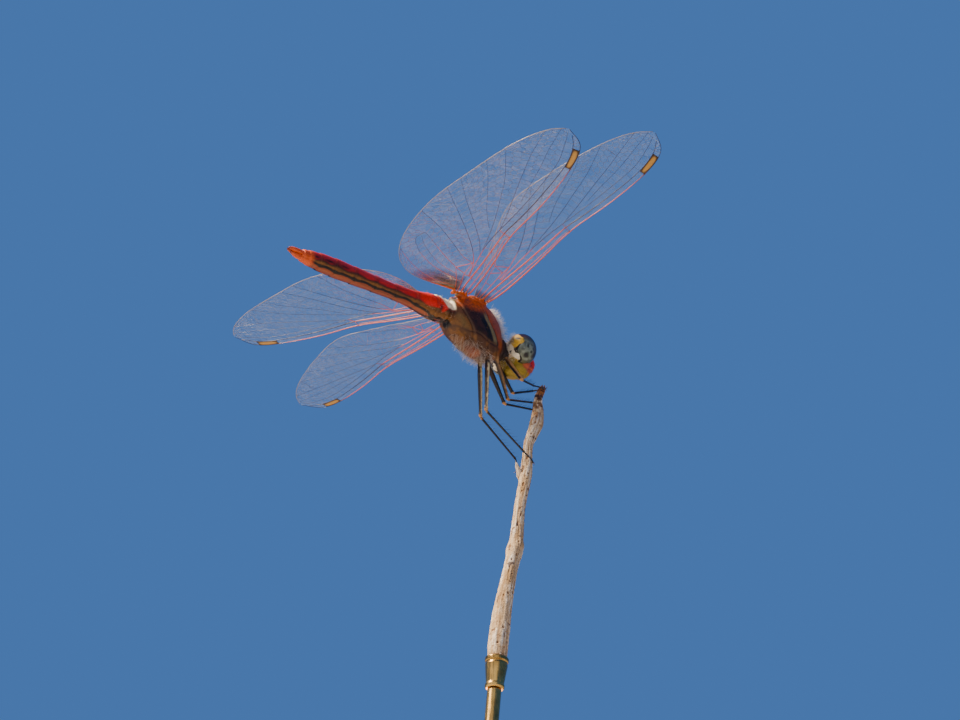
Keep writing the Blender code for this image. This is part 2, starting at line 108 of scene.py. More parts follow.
def noise(points, size, seed):
    """Value noise from 0 to 1: random numbers on a lattice of that size, blended smoothly between."""
    scaled = np.asarray(points, float) / size
    cell = np.floor(scaled).astype(np.int64)
    t = scaled - cell
    t = t * t * (3 - 2 * t)
    total = np.zeros(scaled.shape[:-1])
    for corner in np.ndindex(2, 2, 2):
        key = (cell + corner) * np.array([73856093, 19349663, 83492791])
        mixed = (key[..., 0] ^ key[..., 1] ^ key[..., 2] ^ (seed * 2654435761)) & 0xffffffff
        mixed = ((mixed ^ (mixed >> 13)) * 1274126177) & 0xffffffff
        value = ((mixed ^ (mixed >> 16)) & 0xffff) / 65535
        weight = np.prod(np.where(np.array(corner) == 1, t, 1 - t), axis=-1)
        total += weight * value
    return total


def paint(tints, base, *layers):
    """Colours of points: a base, then layers of (mask from 0 to 1, colour) over it, by their names in
    tints. Without layers it is one row."""
    colour = np.array([tints[base][:3]])
    for mask, name in layers:
        cover = np.clip(mask, 0, 1)[:, None]
        colour = colour * (1 - cover) + np.array(tints[name][:3]) * cover
    return colour


# ---- Surfaces ----

class Shape:
    """Points, faces and point attributes of one mesh, gathered from one or more surfaces."""

    def __init__(self, *surface, **fields):
        self.points, self.faces, self.fields, self.count = [], [], [], 0
        if surface:
            self.add(*surface, **fields)

    def add(self, points, faces, **fields):
        """Adds a surface. faces is a list of index arrays, each with one width; fields are per point."""
        self.points.append(points)
        self.faces += [np.asarray(block) + self.count for block in faces]
        self.fields.append((len(points), fields))
        self.count += len(points)

    def field(self, name, width):
        """One attribute of all points, zero where a surface has none."""
        return np.concatenate([
            np.broadcast_to(np.reshape(fields.get(name, np.zeros(width)), (-1, width)), (count, width))
            for count, fields in self.fields])


def grid_faces(rows, columns, wrap=True):
    """Quads between the points of a grid, wrapping round from the last column to the first."""
    last = columns if wrap else columns - 1
    i, j = np.meshgrid(np.arange(rows - 1), np.arange(last), indexing="ij")
    k = (j + 1) % columns
    quads = np.stack((i * columns + j, i * columns + k, (i + 1) * columns + k, (i + 1) * columns + j), -1)
    return quads.reshape(-1, 4)


def outward(points, faces):
    """The faces, turned over if the volume that they enclose comes out negative."""
    centre = points.mean(axis=0)
    volume = 0
    for block in faces:
        corner = points[block] - centre
        for k in range(1, block.shape[1] - 1):
            volume += np.einsum("ij,ij->", corner[:, 0], np.cross(corner[:, k], corner[:, k + 1]))
    return faces if volume > 0 else [block[:, ::-1] for block in faces]


def closed_loft(rings):
    """Points and faces of a body whose rings are a (rows, columns, 3) array, each end closed by a fan."""
    rows, columns, _ = rings.shape
    points = np.concatenate((rings.reshape(-1, 3), rings[:1].mean(axis=1), rings[-1:].mean(axis=1)))
    first = np.arange(columns)
    second = (first + 1) % columns
    near = np.stack((np.full(columns, rows * columns), second, first), -1)
    start = (rows - 1) * columns
    far = np.stack((np.full(columns, rows * columns + 1), start + first, start + second), -1)
    return points, outward(points, [grid_faces(rows, columns), near, far])


def angles_round(count):
    """Angles spread evenly round a circle."""
    return np.linspace(0, math.tau, count, endpoint=False)


def bent(x, power):
    """A cosine or sine raised to 2/power with its sign kept, as in a superellipse."""
    return np.sign(x) * np.abs(x) ** (2 / power)


def ellipsoid(centre, radii, rows=24, columns=40, power=2, turn=None):
    """A superellipsoid: bent cosines and sines of two angles, times the radii, turned by a matrix."""
    polar = np.linspace(0.02, math.pi - 0.02, rows)[:, None]
    angle = angles_round(columns)[None]
    ball = np.stack((bent(np.sin(polar), power) * bent(np.cos(angle), power),
                     bent(np.sin(polar), power) * bent(np.sin(angle), power),
                     bent(np.cos(polar), power) * np.ones_like(angle)), -1)
    local = ball * np.asarray(radii, float)
    if turn is not None:
        local = local @ turn.T
    return closed_loft(local + np.asarray(centre, float))


def frame_along(way, reference):
    """Unit vectors along a way, across it and the reference, and over both."""
    way = unit(way)
    across = unit(np.cross(way, reference))
    return way, across, np.cross(across, way)


def bundle(paths, radii, sides, reference):
    """Many tubes at once: a ring of that radius lies square to the path round each point of the
    (tubes, steps, 3) paths. Flat ends close them."""
    tubes, steps, _ = paths.shape
    radii = np.broadcast_to(radii, (tubes, steps))
    _, across, over = frame_along(np.gradient(paths, axis=1), reference)
    angle = angles_round(sides)[:, None]
    ring = across[:, :, None] * np.cos(angle) + over[:, :, None] * np.sin(angle)
    points = paths[:, :, None] + ring * radii[:, :, None, None]
    quads = grid_faces(steps, sides)[:, ::-1]
    start = (np.arange(tubes) * steps * sides)[:, None, None]
    near = np.arange(sides)[None, None, :]
    far = near[..., ::-1] + (steps - 1) * sides
    faces = [(quads[None] + start).reshape(-1, 4), (near + start).reshape(-1, sides),
             (far + start).reshape(-1, sides)]
    return points.reshape(-1, 3), faces


def make_piece(name, shape, material, replaced=()):
    """Turns a Shape into a mesh object at the origin, which rides on the model and stands for nodes."""
    points = (np.concatenate(shape.points) + HINGE) * MM
    mesh = bpy.data.meshes.new(name)
    widths = [block.shape[1] for block in shape.faces for _ in range(len(block))]
    corners = np.concatenate([block.reshape(-1) for block in shape.faces]).astype(np.int32)
    mesh.vertices.add(len(points))
    mesh.vertices.foreach_set("co", points.astype(np.float32).reshape(-1))
    mesh.loops.add(len(corners))
    mesh.loops.foreach_set("vertex_index", corners)
    mesh.polygons.add(len(widths))
    totals = np.array(widths, np.int32)
    mesh.polygons.foreach_set("loop_start", np.concatenate(([0], np.cumsum(totals)[:-1])).astype(np.int32))
    mesh.polygons.foreach_set("loop_total", totals)
    mesh.update(calc_edges=True)
    for key in sorted({key for _, fields in shape.fields for key in fields}):
        if key == "paint":
            colour = np.hstack((shape.field(key, 3), np.ones((len(points), 1))))
            layer = mesh.attributes.new(key, "FLOAT_COLOR", "POINT")
            layer.data.foreach_set("color", colour.astype(np.float32).reshape(-1))
        elif key == "uv":
            layer = mesh.uv_layers.new(name="OFBake")
            layer.data.foreach_set("uv", shape.field(key, 2)[corners].astype(np.float32).reshape(-1))
        else:
            layer = mesh.attributes.new(key, "FLOAT", "POINT")
            layer.data.foreach_set("value", shape.field(key, 1).astype(np.float32).reshape(-1))
    mesh.shade_smooth()
    mesh.materials.append(material)
    piece = bpy.data.objects.new(name, mesh)
    bpy.context.scene.collection.objects.link(piece)
    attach(piece, "root")
    if replaced:
        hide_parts(*replaced)
    return piece


# ---- Materials ----

def add_node(tree, kind, inputs=(), **settings):
    """Adds one node: settings are its properties, inputs its sockets' values or what feeds them."""
    made = tree.nodes.new(kind)
    for key, value in settings.items():
        setattr(made, key, value)
    for key, value in dict(inputs).items():
        if isinstance(value, bpy.types.NodeSocket):
            tree.links.new(value, made.inputs[key])
        else:
            made.inputs[key].default_value = value
    return made


def new_material(name, **sockets):
    """A material with one Principled shader, whose plain values are set on its own sockets."""
    material = bpy.data.materials.new(name)
    material.use_nodes = True
    shader = material.node_tree.nodes["Principled BSDF"]
    for key, value in sockets.items():
        shader.inputs[key.replace("_", " ")].default_value = value
    return material, material.node_tree, shader


def grained(tree, shader, size, depth, stretch=(1, 1, 1), hollow=False):
    """Gives the surface a grain about size millimetres across, on Object coordinates, drawn out along
    the axes where stretch is below 1. Its relief is depth millimetres. Returns the grain, 0 to 1."""
    place = add_node(tree, "ShaderNodeTexCoord").outputs["Object"]
    drawn = add_node(tree, "ShaderNodeMapping", {"Vector": place, "Scale": stretch}).outputs[0]
    grain = add_node(tree, "ShaderNodeTexNoise", {
        "Vector": drawn, "Scale": 1 / (size * MM), "Detail": 3, "Roughness": 0.6}).outputs["Fac"]
    if depth:
        relief = add_node(tree, "ShaderNodeBump", {"Height": grain, "Distance": depth * MM}, invert=hollow)
        tree.links.new(relief.outputs[0], shader.inputs["Normal"])
    return grain


def painted(tree, shader, grain=None, low=0.8, high=1.15, colour=None):
    """Base colour, by default the points' own paint, made lighter and darker by the grain between low
    and high."""
    if colour is None:
        colour = add_node(tree, "ShaderNodeAttribute", attribute_name="paint").outputs["Color"]
    if grain:
        tone = add_node(tree, "ShaderNodeMapRange", {0: grain, 1: 0.3, 2: 0.7, 3: low, 4: high}).outputs[0]
        shade = add_node(tree, "ShaderNodeCombineColor", {0: tone, 1: tone, 2: tone}).outputs[0]
        colour = add_node(tree, "ShaderNodeMix", {0: 1, 6: colour, 7: shade}, data_type="RGBA",
                          blend_type="MULTIPLY").outputs[2]
    tree.links.new(colour, shader.inputs["Base Color"])


def cuticle(name, size=0.16, depth=0.02, roughness=0.46, coat=0.05):
    """Insect cuticle, chitin hardened in place: a satin skin whose fine pits and down break its gloss,
    under a thin wax."""
    material, tree, shader = new_material(name, Roughness=roughness, IOR=1.55, Coat_Weight=coat,
                                          Coat_Roughness=0.25, Specular_IOR_Level=0.28)
    painted(tree, shader, grained(tree, shader, size, depth))
    return material


def hair_chitin(name):
    """Insect hair, a hollow chitin bristle: satin, in the colour of its root's place."""
    material, tree, shader = new_material(name, Roughness=0.5, IOR=1.55)
    painted(tree, shader)
    return material


def eye_cornea():
    """Compound eye, thousands of clear chitin lenses: a hard gloss over a fine honeycomb relief. Real
    facets are 0.03 mm across, and they are drawn 0.06 mm across so that they show."""
    material, tree, shader = new_material("compound_eye_chitin", Roughness=0.3, IOR=1.56,
                                          Specular_IOR_Level=0.3, Coat_Weight=0.2, Coat_Roughness=0.1)
    painted(tree, shader)
    place = add_node(tree, "ShaderNodeTexCoord").outputs["Object"]
    facets = add_node(tree, "ShaderNodeTexVoronoi", {"Vector": place, "Scale": 1 / (0.06 * MM)},
                      feature="F1").outputs["Distance"]
    relief = add_node(tree, "ShaderNodeBump", {"Height": facets, "Distance": 0.012 * MM}, invert=True)
    tree.links.new(relief.outputs[0], shader.inputs["Normal"])
    return material


def membrane():
    """Wing membrane, a chitin film a few thousandths of a millimetre thick: nearly clear, with a bright
    gloss where it faces a light, amber at the hind wing's base and faintly crinkled."""
    material, tree, shader = new_material("wing_membrane_chitin", Roughness=0.13, IOR=1.56)
    painted(tree, shader)
    grain = grained(tree, shader, 0.9, 0.09)
    cover = add_node(tree, "ShaderNodeAttribute", attribute_name="stain").outputs["Fac"]
    cloud = add_node(tree, "ShaderNodeMapRange", {0: grain, 1: 0.3, 2: 0.7, 3: -0.02, 4: 0.03}).outputs[0]
    alpha = add_node(tree, "ShaderNodeMath", {0: cover, 1: cloud}, operation="ADD", use_clamp=True)
    tree.links.new(alpha.outputs[0], shader.inputs["Alpha"])
    return material


def weathered_wood():
    """Dead twig without its bark, greyed by sun and rain: a dull fibrous surface."""
    material, tree, shader = new_material("weathered_twig_wood", Roughness=0.86, IOR=1.5,
                                          Specular_IOR_Level=0.25)
    painted(tree, shader, grained(tree, shader, 0.22, 0.05), 0.62, 1.25)
    return material


def oiled_walnut(dark, light):
    """Oiled walnut, turned across the grain: dark streaks 1 to 3 mm apart, drawn out along the board,
    with fine pores 0.2 mm wide."""
    material, tree, shader = new_material("oiled_walnut", Roughness=0.42, IOR=1.5, Coat_Weight=0.12,
                                          Coat_Roughness=0.3)
    streak = grained(tree, shader, 1.7, 0, (0.12, 1, 1))
    pores = grained(tree, shader, 0.25, 0.03, (0.08, 1, 1), hollow=True)
    share = add_node(tree, "ShaderNodeMapRange", {0: streak, 1: 0.33, 2: 0.66}).outputs[0]
    board = add_node(tree, "ShaderNodeMix", {0: share, 6: dark, 7: light}, data_type="RGBA").outputs[2]
    cover = add_node(tree, "ShaderNodeMapRange", {0: pores, 1: 0.58, 2: 0.72, 4: 0.55}).outputs[0]
    colour = add_node(tree, "ShaderNodeMix", {0: cover, 6: board, 7: srgb("#1C0F08")}, data_type="RGBA")
    tree.links.new(colour.outputs[2], shader.inputs["Base Color"])
    gloss = add_node(tree, "ShaderNodeMapRange", {0: pores, 1: 0.5, 2: 0.7, 3: 0.36, 4: 0.62})
    tree.links.new(gloss.outputs[0], shader.inputs["Roughness"])
    return material


def drawn_brass(colour):
    """Drawn brass rod, lightly lacquered: a warm metal with fine draw lines along it."""
    material, tree, shader = new_material("drawn_brass", Metallic=1, Roughness=0.28, Base_Color=colour)
    lines = grained(tree, shader, 0.12, 0.008, (1, 1, 0.03))
    gloss = add_node(tree, "ShaderNodeMapRange", {0: lines, 1: 0.3, 2: 0.7, 3: 0.2, 4: 0.4})
    tree.links.new(gloss.outputs[0], shader.inputs["Roughness"])
    tarnish = grained(tree, shader, 2.4, 0)
    cover = add_node(tree, "ShaderNodeMapRange", {0: tarnish, 1: 0.45, 2: 0.75}).outputs[0]
    mixed = add_node(tree, "ShaderNodeMix", {0: cover, 6: colour, 7: srgb("#8C6A36")}, data_type="RGBA")
    tree.links.new(mixed.outputs[2], shader.inputs["Base Color"])
    return material


def matt_plaster(colour):
    """Painted plaster floor: dull and even, with a slight trowelled unevenness 40 mm across."""
    material, tree, shader = new_material("pale_plaster", Roughness=0.9)
    painted(tree, shader, grained(tree, shader, 40, 0.1), 0.97, 1.03, colour)
    return material


# ---- Wings ----

ROOT_GAP = 0.16                   # from the hinge line to where the wing's sheet starts
STIGMA_THICKNESS = 0.11
VEIN_GIRTH = 0.64                 # of the main veins, against the radii in the plans
MARGIN_RADIUS, TIE_RADIUS = 0.034, 0.036
FILM_STAIN = 0.038                # how far the clear film hides what is behind it
PLEAT_REACH, PLEAT_EDGE = 0.9, 0.16          # how far a vein lifts the film, and how softly it folds
CELL_WAVER = 0.17                 # of a cell's size: how far its corners lie out of line

# Pose of each wing in degrees: sweep forward, rise towards the tip, twist of the leading edge up
WING_POSES = {
    "forewing_left": (2, 0.8, -5.4),
    "forewing_right": (-1.6, 6.6, -4.6),
    "hindwing_left": (-19.7, 6.9, -6.8),
    "hindwing_right": (-15.3, 1.1, -6.2),
}

# Lines' points are (distance out along the wing, distance forward of the hinge line). The first two are
# the wing's edges. A vein has its radius at root and tip, its height in the pleated sheet, how far out
# it is red, and its points. A field of cells lies between stretches of two lines: the first and last
# place on one and on the other, the number of rows of cells and the cells' length. A negative place is
# one forward of the hinge line.
FOREWING = {
    "hinge": (0, 2.03, 0), "length": 29.6, "sag": 0.8, "nodus": 14.2, "stigma": (24.9, 27.45),
    "lead": ((0, 0.15), (1.2, 0.4), (3, 0.5), (5.5, 0.45), (9, 0.25), (14.2, -0.15), (20, 0.3), (25, 0.25),
             (28.1, -0.6), (29.6, -2.9)),
    "trail": ((0.1, -1.85), (0.7, -2.15), (2.2, -2.85), (4.6, -4.05), (8.2, -5.85), (13.5, -7.85),
             (19.5, -7.3), (24.9, -6), (28, -4.6), (29.6, -2.9)),
    "veins": {
        "Sc": (0.075, 0.05, -0.13, 14.5, (0.2, -0.12), (2, -0.16), (6, -0.1), (10, -0.22), (13.5, -0.44),
            (14.2, -0.2)),
        "RA": (0.125, 0.045, 0.12, 14.6, (0.2, -0.62), (2, -0.7), (4, -0.72), (8, -0.72), (12, -0.85),
            (14.3, -0.9), (17, -0.62), (21, -0.38), (24.9, -0.42), (27.45, -1.02), (28.9, -2)),
        "RP1": (0.06, 0.03, -0.1, 10, (3.95, -1.1), (6, -1.35), (9, -1.62), (12, -1.72), (14.3, -1.62),
            (17, -1.42), (21, -1.25), (24.9, -1.3), (27.4, -1.95), (29, -2.6)),
        "RP2": (0.042, 0.028, -0.08, 0, (14.9, -1.62), (17.5, -2.1), (20.5, -2.75), (23.5, -3.35),
            (26, -3.95), (28.2, -4.4)),
        "IR1": (0.03, 0.026, 0.04, 0, (18.6, -1.75), (21, -2.05), (24, -2.35), (26.5, -2.85),
            (29.1, -3.35)),
        "IR2": (0.042, 0.028, 0.08, 0, (9.8, -1.75), (12.5, -2.15), (15.5, -2.75), (18.5, -3.55),
            (21.5, -4.4), (25, -5.85)),
        "Rspl": (0.03, 0.026, -0.04, 0, (13.8, -2.85), (16, -4), (18.5, -4.9), (20.8, -5.7), (22.6, -6.55)),
        "RP34": (0.045, 0.028, -0.08, 0, (8.7, -1.66), (10.8, -2.6), (13.2, -4.1), (16, -5.8),
            (18.5, -7.4)),
        "MA": (0.06, 0.028, 0.08, 8.5, (3.95, -1.25), (5.2, -1.5), (6.8, -1.95), (8.6, -2.6), (10.8, -3.75),
            (13.2, -5.3), (15, -6.6), (16.6, -7.7)),
        "MP": (0.07, 0.05, 0, 9, (0.2, -1.15), (2, -1.35), (3.95, -1.6), (4.9, -1.7)),
        "MPd": (0.045, 0.028, -0.08, 6.5, (5.25, -3.1), (7, -4.3), (9, -5.6), (10.8, -7)),
        "CuA": (0.045, 0.028, 0.06, 6.5, (5.25, -3.1), (5.7, -3.8), (6.5, -4.6), (7.2, -5.35)),
        "A": (0.06, 0.04, -0.05, 7, (0.2, -1.6), (1.5, -1.95), (3, -2.4), (4.2, -2.85), (5.25, -3.1)),
    },
    "ties": (((3.95, -0.72), (3.95, -1.6)), ((4.9, -1.7), (5.25, -3.1)), ((5.95, -1.7), (5.25, -3.1)),
             ((4.9, -1.7), (5.95, -1.7)), ((4.9, -1.7), (4.1, -2.8)), ((2.5, -1.4), (2.6, -2.28)),
             ((14.2, -0.15), (14.3, -0.9), (14.6, -1.62))),
    "fields": (("lead Sc", 0.9, 14.2, 0.9, 14.1, 1, 1.7), ("Sc RA", 0.9, 14, 0.9, 14.2, 1, 1.7),
        ("lead RA", 14.2, 24.9, 14.3, 24.9, 1, 1.5), ("lead RA", 27.45, 29.2, 27.45, 28.7, 1, 0.4),
        ("RA RP1", 4.9, 14.3, 4.9, 14.3, 1, 1.6), ("RA RP1", 14.4, 28.7, 14.5, 28.8, 1, 1.05),
        ("RP1 IR2", 10.6, 14.8, 10.8, 14.8, 1, 0.85), ("RP1 RP2", 15.6, 18.5, 15.8, 18.7, 1, 0.85),
        ("RP1 IR1", 18.8, 24, 18.9, 24, 1, 0.75), ("RP1 IR1", 24, 28.9, 24, 29, 2, 0.7),
        ("IR1 RP2", 19, 23, 19, 23, 1, 0.75), ("IR1 RP2", 23, 29, 23, 28.1, 2, 0.7),
        ("RP2 IR2", 15.1, 19, 15.1, 19, 1, 0.7), ("RP2 IR2", 19, 22, 19, 22, 2, 0.72),
        ("RP2 IR2", 22, 25, 22, 24.9, 3, 0.7), ("RP2 trail", 25, 28.1, 25.1, 28.2, 3, 0.66),
        ("IR2 Rspl", 14.1, 19, 14.1, 18.4, 1, 0.7), ("IR2 Rspl", 19, 22, 18.4, 20.5, 2, 0.7),
        ("IR2 Rspl", 22, 24.9, 20.5, 22.5, 3, 0.66), ("IR2 RP34", 10.6, 13.9, 10.2, 12.8, 1, 0.75),
        ("Rspl RP34", 14, 16.4, 12.9, 14.7, 2, 0.75), ("Rspl RP34", 16.4, 19, 14.7, 16.6, 3, 0.7),
        ("Rspl RP34", 19, 22.5, 16.6, 18.4, 5, 0.66), ("RP34 MA", 8.9, 18.4, 7.9, 16.5, 1, 0.62),
        ("MA MPd", 6, 8.6, 5.5, 7.2, 2, 0.72), ("MA MPd", 8.6, 12.2, 7.2, 9.8, 3, 0.72),
        ("MA trail", 12.2, 14.2, 11, 13.6, 3, 0.7), ("MA trail", 14.2, 16.5, 13.6, 16.4, 1, 0.55),
        ("MPd CuA", 5.5, 8.6, 5.5, 7.1, 2, 0.68), ("MPd trail", 8.6, 10.7, 7.4, 10.6, 1, 0.6),
        ("A trail", 0.7, 5.2, 0.5, 6.9, 1, 0.55)),
}
HINDWING = {
    "hinge": (-2.98, 2.03, -0.19), "length": 28.1, "sag": 1.2, "nodus": 11.2, "stigma": (23.25, 25.95),
    "lead": ((0, 0.3), (0.6, 0.4), (1.6, 0.4), (3.5, 0.4), (7, 0.2), (11.2, -0.15), (17.5, 0.35),
             (23.3, 0.25), (26.6, -0.5), (28.1, -2.6)),
    "trail": ((0.35, -1.6), (0.35, -4.2), (1, -7.2), (3, -9.3), (6.5, -10.2), (12, -9.8), (18, -8.1),
             (23.5, -6.2), (26.8, -4.3), (28.1, -2.6)),
    "veins": {
        "Sc": (0.075, 0.05, -0.13, 11.5, (0.2, -0.15), (1.6, -0.2), (5, -0.2), (8, -0.3), (10.6, -0.52),
            (11.2, -0.2)),
        "RA": (0.125, 0.045, 0.12, 11.7, (0.2, -0.65), (1.6, -0.75), (3.2, -0.75), (7, -0.8), (11.3, -0.95),
            (14, -0.65), (18, -0.38), (23.25, -0.38), (25.95, -0.95), (27.4, -1.8)),
        "RP1": (0.06, 0.03, -0.1, 8.5, (3.1, -1.1), (5, -1.4), (7.5, -1.7), (9.5, -1.8), (11.4, -1.7),
            (14, -1.45), (18, -1.2), (23.25, -1.25), (25.9, -1.85), (27.6, -2.4)),
        "RP2": (0.042, 0.028, -0.08, 0, (12, -1.7), (14.5, -2.15), (17.5, -2.85), (20.5, -3.5),
            (23.5, -4.05), (26.7, -4.35)),
        "IR1": (0.03, 0.026, 0.04, 0, (16.5, -1.7), (19, -2.05), (22, -2.4), (24.6, -2.85), (27.7, -3.15)),
        "IR2": (0.042, 0.028, 0.08, 0, (7.9, -1.8), (10, -2.15), (13, -2.85), (16, -3.75), (19, -4.75),
            (22.6, -6.5)),
        "Rspl": (0.03, 0.026, -0.04, 0, (11.4, -2.75), (13.6, -4.1), (16.2, -5.3), (18.3, -6.3),
            (20.2, -7.4)),
        "RP34": (0.045, 0.028, -0.08, 0, (7.1, -1.7), (9, -2.7), (11.2, -4.3), (13.5, -6.2), (16.6, -8.5)),
        "MA": (0.06, 0.028, 0.08, 7, (3.1, -1.2), (4.6, -1.45), (6, -1.95), (7.6, -2.9), (9.3, -4.2),
            (11.2, -5.85), (13.2, -7.75), (14.7, -9.1)),
        "MP": (0.07, 0.045, 0, 7.5, (0.2, -1.15), (1.6, -1.35), (3.35, -1.75), (5.4, -1.75)),
        "MPd": (0.045, 0.028, -0.08, 6.5, (5.4, -1.75), (6, -3.2), (7.4, -5), (9, -7.2), (10.4, -9.95)),
        "CuA": (0.05, 0.03, 0.06, 6.5, (3.9, -3.05), (4.8, -4.5), (6, -6.2), (7, -7.5), (7.5, -8.35)),
        "A": (0.065, 0.045, -0.05, 7, (0.2, -1.55), (1.2, -1.8), (2.1, -2.15), (3.9, -3.05)),
        "A2": (0.045, 0.03, 0.05, 4.5, (2.1, -2.15), (2.5, -3.9), (3.3, -5.9), (4.6, -7.7), (6.2, -8.8),
            (7.5, -8.35)),
        "rib": (0.036, 0.028, -0.04, 4.5, (3, -2.65), (3.55, -4.4), (4.6, -6.2), (5.8, -7.6), (6.9, -8.45)),
        "A3": (0.045, 0.03, -0.04, 4, (1, -1.75), (0.95, -3.6), (1.5, -5.8), (2.7, -7.9), (4.2, -9.75)),
        "strut": (0.27, 0.07, 0.05, 9, (0.2, -1.5), (0.32, -2.3), (0.36, -3.4), (0.38, -4.4)),
    },
    "ties": (((3.1, -0.75), (3.15, -1.72)), ((3.35, -1.75), (3.9, -3.05)), ((5.4, -1.75), (3.9, -3.05)),
             ((5.4, -1.75), (5.5, -1.7)), ((1.9, -1.4), (2, -2.1)),
             ((11.2, -0.15), (11.3, -0.95), (11.7, -1.7))),
    "fields": (("lead Sc", 0.9, 11.2, 0.9, 11.1, 1, 1.75), ("Sc RA", 0.9, 11, 0.9, 11.2, 1, 1.75),
        ("lead RA", 11.2, 23.25, 11.3, 23.25, 1, 1.5), ("lead RA", 25.95, 27.8, 25.95, 27.2, 1, 0.4),
        ("RA RP1", 3.9, 11.3, 3.9, 11.3, 1, 1.5), ("RA RP1", 11.4, 27.2, 11.5, 27.3, 1, 1.05),
        ("RP1 IR2", 8.7, 11.9, 8.9, 12, 1, 0.85), ("RP1 RP2", 12.7, 16.4, 12.9, 16.6, 1, 0.85),
        ("RP1 IR1", 16.7, 22, 16.8, 22, 1, 0.75), ("RP1 IR1", 22, 27.5, 22, 27.6, 2, 0.7),
        ("IR1 RP2", 16.9, 20.5, 16.9, 20.5, 1, 0.75), ("IR1 RP2", 20.5, 27.6, 20.5, 26.6, 2, 0.7),
        ("RP2 IR2", 12.2, 17, 12.2, 16.6, 1, 0.7), ("RP2 IR2", 17, 20, 16.6, 19.4, 2, 0.72),
        ("RP2 IR2", 20, 23.2, 19.4, 22.5, 3, 0.7), ("RP2 trail", 23.2, 26.6, 22.8, 26.5, 3, 0.66),
        ("IR2 Rspl", 11.9, 16.4, 11.8, 15.6, 1, 0.7), ("IR2 Rspl", 16.4, 19.6, 15.6, 18, 2, 0.7),
        ("IR2 Rspl", 19.6, 22.5, 18, 20.1, 3, 0.66), ("IR2 RP34", 8.6, 11.6, 8.2, 10.4, 1, 0.75),
        ("Rspl RP34", 11.7, 14.2, 10.5, 12.4, 2, 0.75), ("Rspl RP34", 14.2, 16.6, 12.4, 14.2, 3, 0.7),
        ("Rspl RP34", 16.6, 20.1, 14.2, 16.5, 5, 0.66), ("RP34 MA", 7.3, 16.5, 6.4, 14.6, 1, 0.62),
        ("MA MPd", 5.7, 7.4, 5.6, 6.6, 2, 0.7), ("MA MPd", 7.4, 10.8, 6.6, 8.8, 3, 0.72),
        ("MA MPd", 10.8, 13, 8.8, 10.2, 4, 0.7), ("MA trail", 13, 14.6, 10.9, 14.3, 2, 0.7),
        ("MPd CuA", -2.6, -4.8, 4.2, 5.6, 2, 0.7), ("MPd CuA", -4.8, -8, 5.6, 7.4, 2, 0.7),
        ("MPd trail", -8, -9.8, 7.6, 10.2, 3, 0.7), ("CuA rib", -3.3, -8.1, -3, -8.3, 1, 0.62),
        ("rib A2", -2.9, -8.2, -2.6, -8.6, 1, 0.62), ("A2 A3", -2.5, -8.6, -2.3, -9.5, 2, 0.68),
        ("A2 trail", 6.2, 7.4, 4.6, 7.5, 2, 0.65), ("A3 trail", -2.1, -9.6, -2, -9.2, 2, 0.66)),
}


def place_on(line, value):
    """Share of a line's length at a distance out, or at a negative distance forward, of the hinge line."""
    reach = reach_of(line)
    if value < 0:
        last = int(np.argmin(line[:, 1])) + 1
        return np.interp(-value, -line[:last, 1], reach[:last]) / reach[-1]
    return np.interp(value, line[:, 0], reach) / reach[-1]


def read_line(line, shares):
    """Points of a line at shares of its length."""
    reach = reach_of(line)
    return np.stack([np.interp(shares * reach[-1], reach, line[:, k]) for k in (0, 1)], -1)


def cell_walls(lines, field, rng):
    """Walls of a field of cells as (walls, 2 ends, 2). Rows of cells run along the field. Between two
    rows the wall goes up and down in turn, so that the cells are six-sided, as bricks laid in bond."""
    names, *places, rows, size = field
    pair = [lines[name] for name in names.split()]
    spans = [[place_on(line, value) for value in ends] for line, ends in zip(pair, (places[:2], places[2:]))]
    length = np.mean([reach_of(read_line(line, np.linspace(*span, 9)))[-1]
                      for line, span in zip(pair, spans)])
    steps = max(2, round(length / size)) * (1 if rows == 1 else 2)
    share = np.linspace(0, 1, steps + 1)
    share[1:-1] += rng.uniform(-CELL_WAVER, CELL_WAVER, steps - 1) / steps
    sides = [read_line(line, first + (last - first) * share) for line, (first, last) in zip(pair, spans)]
    k = np.arange(steps + 1)
    level = np.zeros((rows + 1, steps + 1))
    for r in range(1, rows + 1):
        lift = np.where((k + r) % 2 == 0, -CELL_WAVER, CELL_WAVER) * ((k > 0) & (k < steps)) * (r < rows)
        level[r] = (r + lift) / rows
    net = sides[0] * (1 - level[..., None]) + sides[1] * level[..., None]
    edges = []
    for r in range(1, rows + 1):
        across = k[(k > 0) & (k < steps) & ((rows == 1) | ((k + r) % 2 == 0))]
        edges.append(np.stack((net[r - 1, across], net[r, across]), 1))
        if r < rows:
            edges.append(np.stack((net[r, :-1], net[r, 1:]), 1))
    if rows > 1:
        edges += [np.stack((net[:-1, end], net[1:, end]), 1) for end in (0, -1)]
    return np.concatenate(edges)


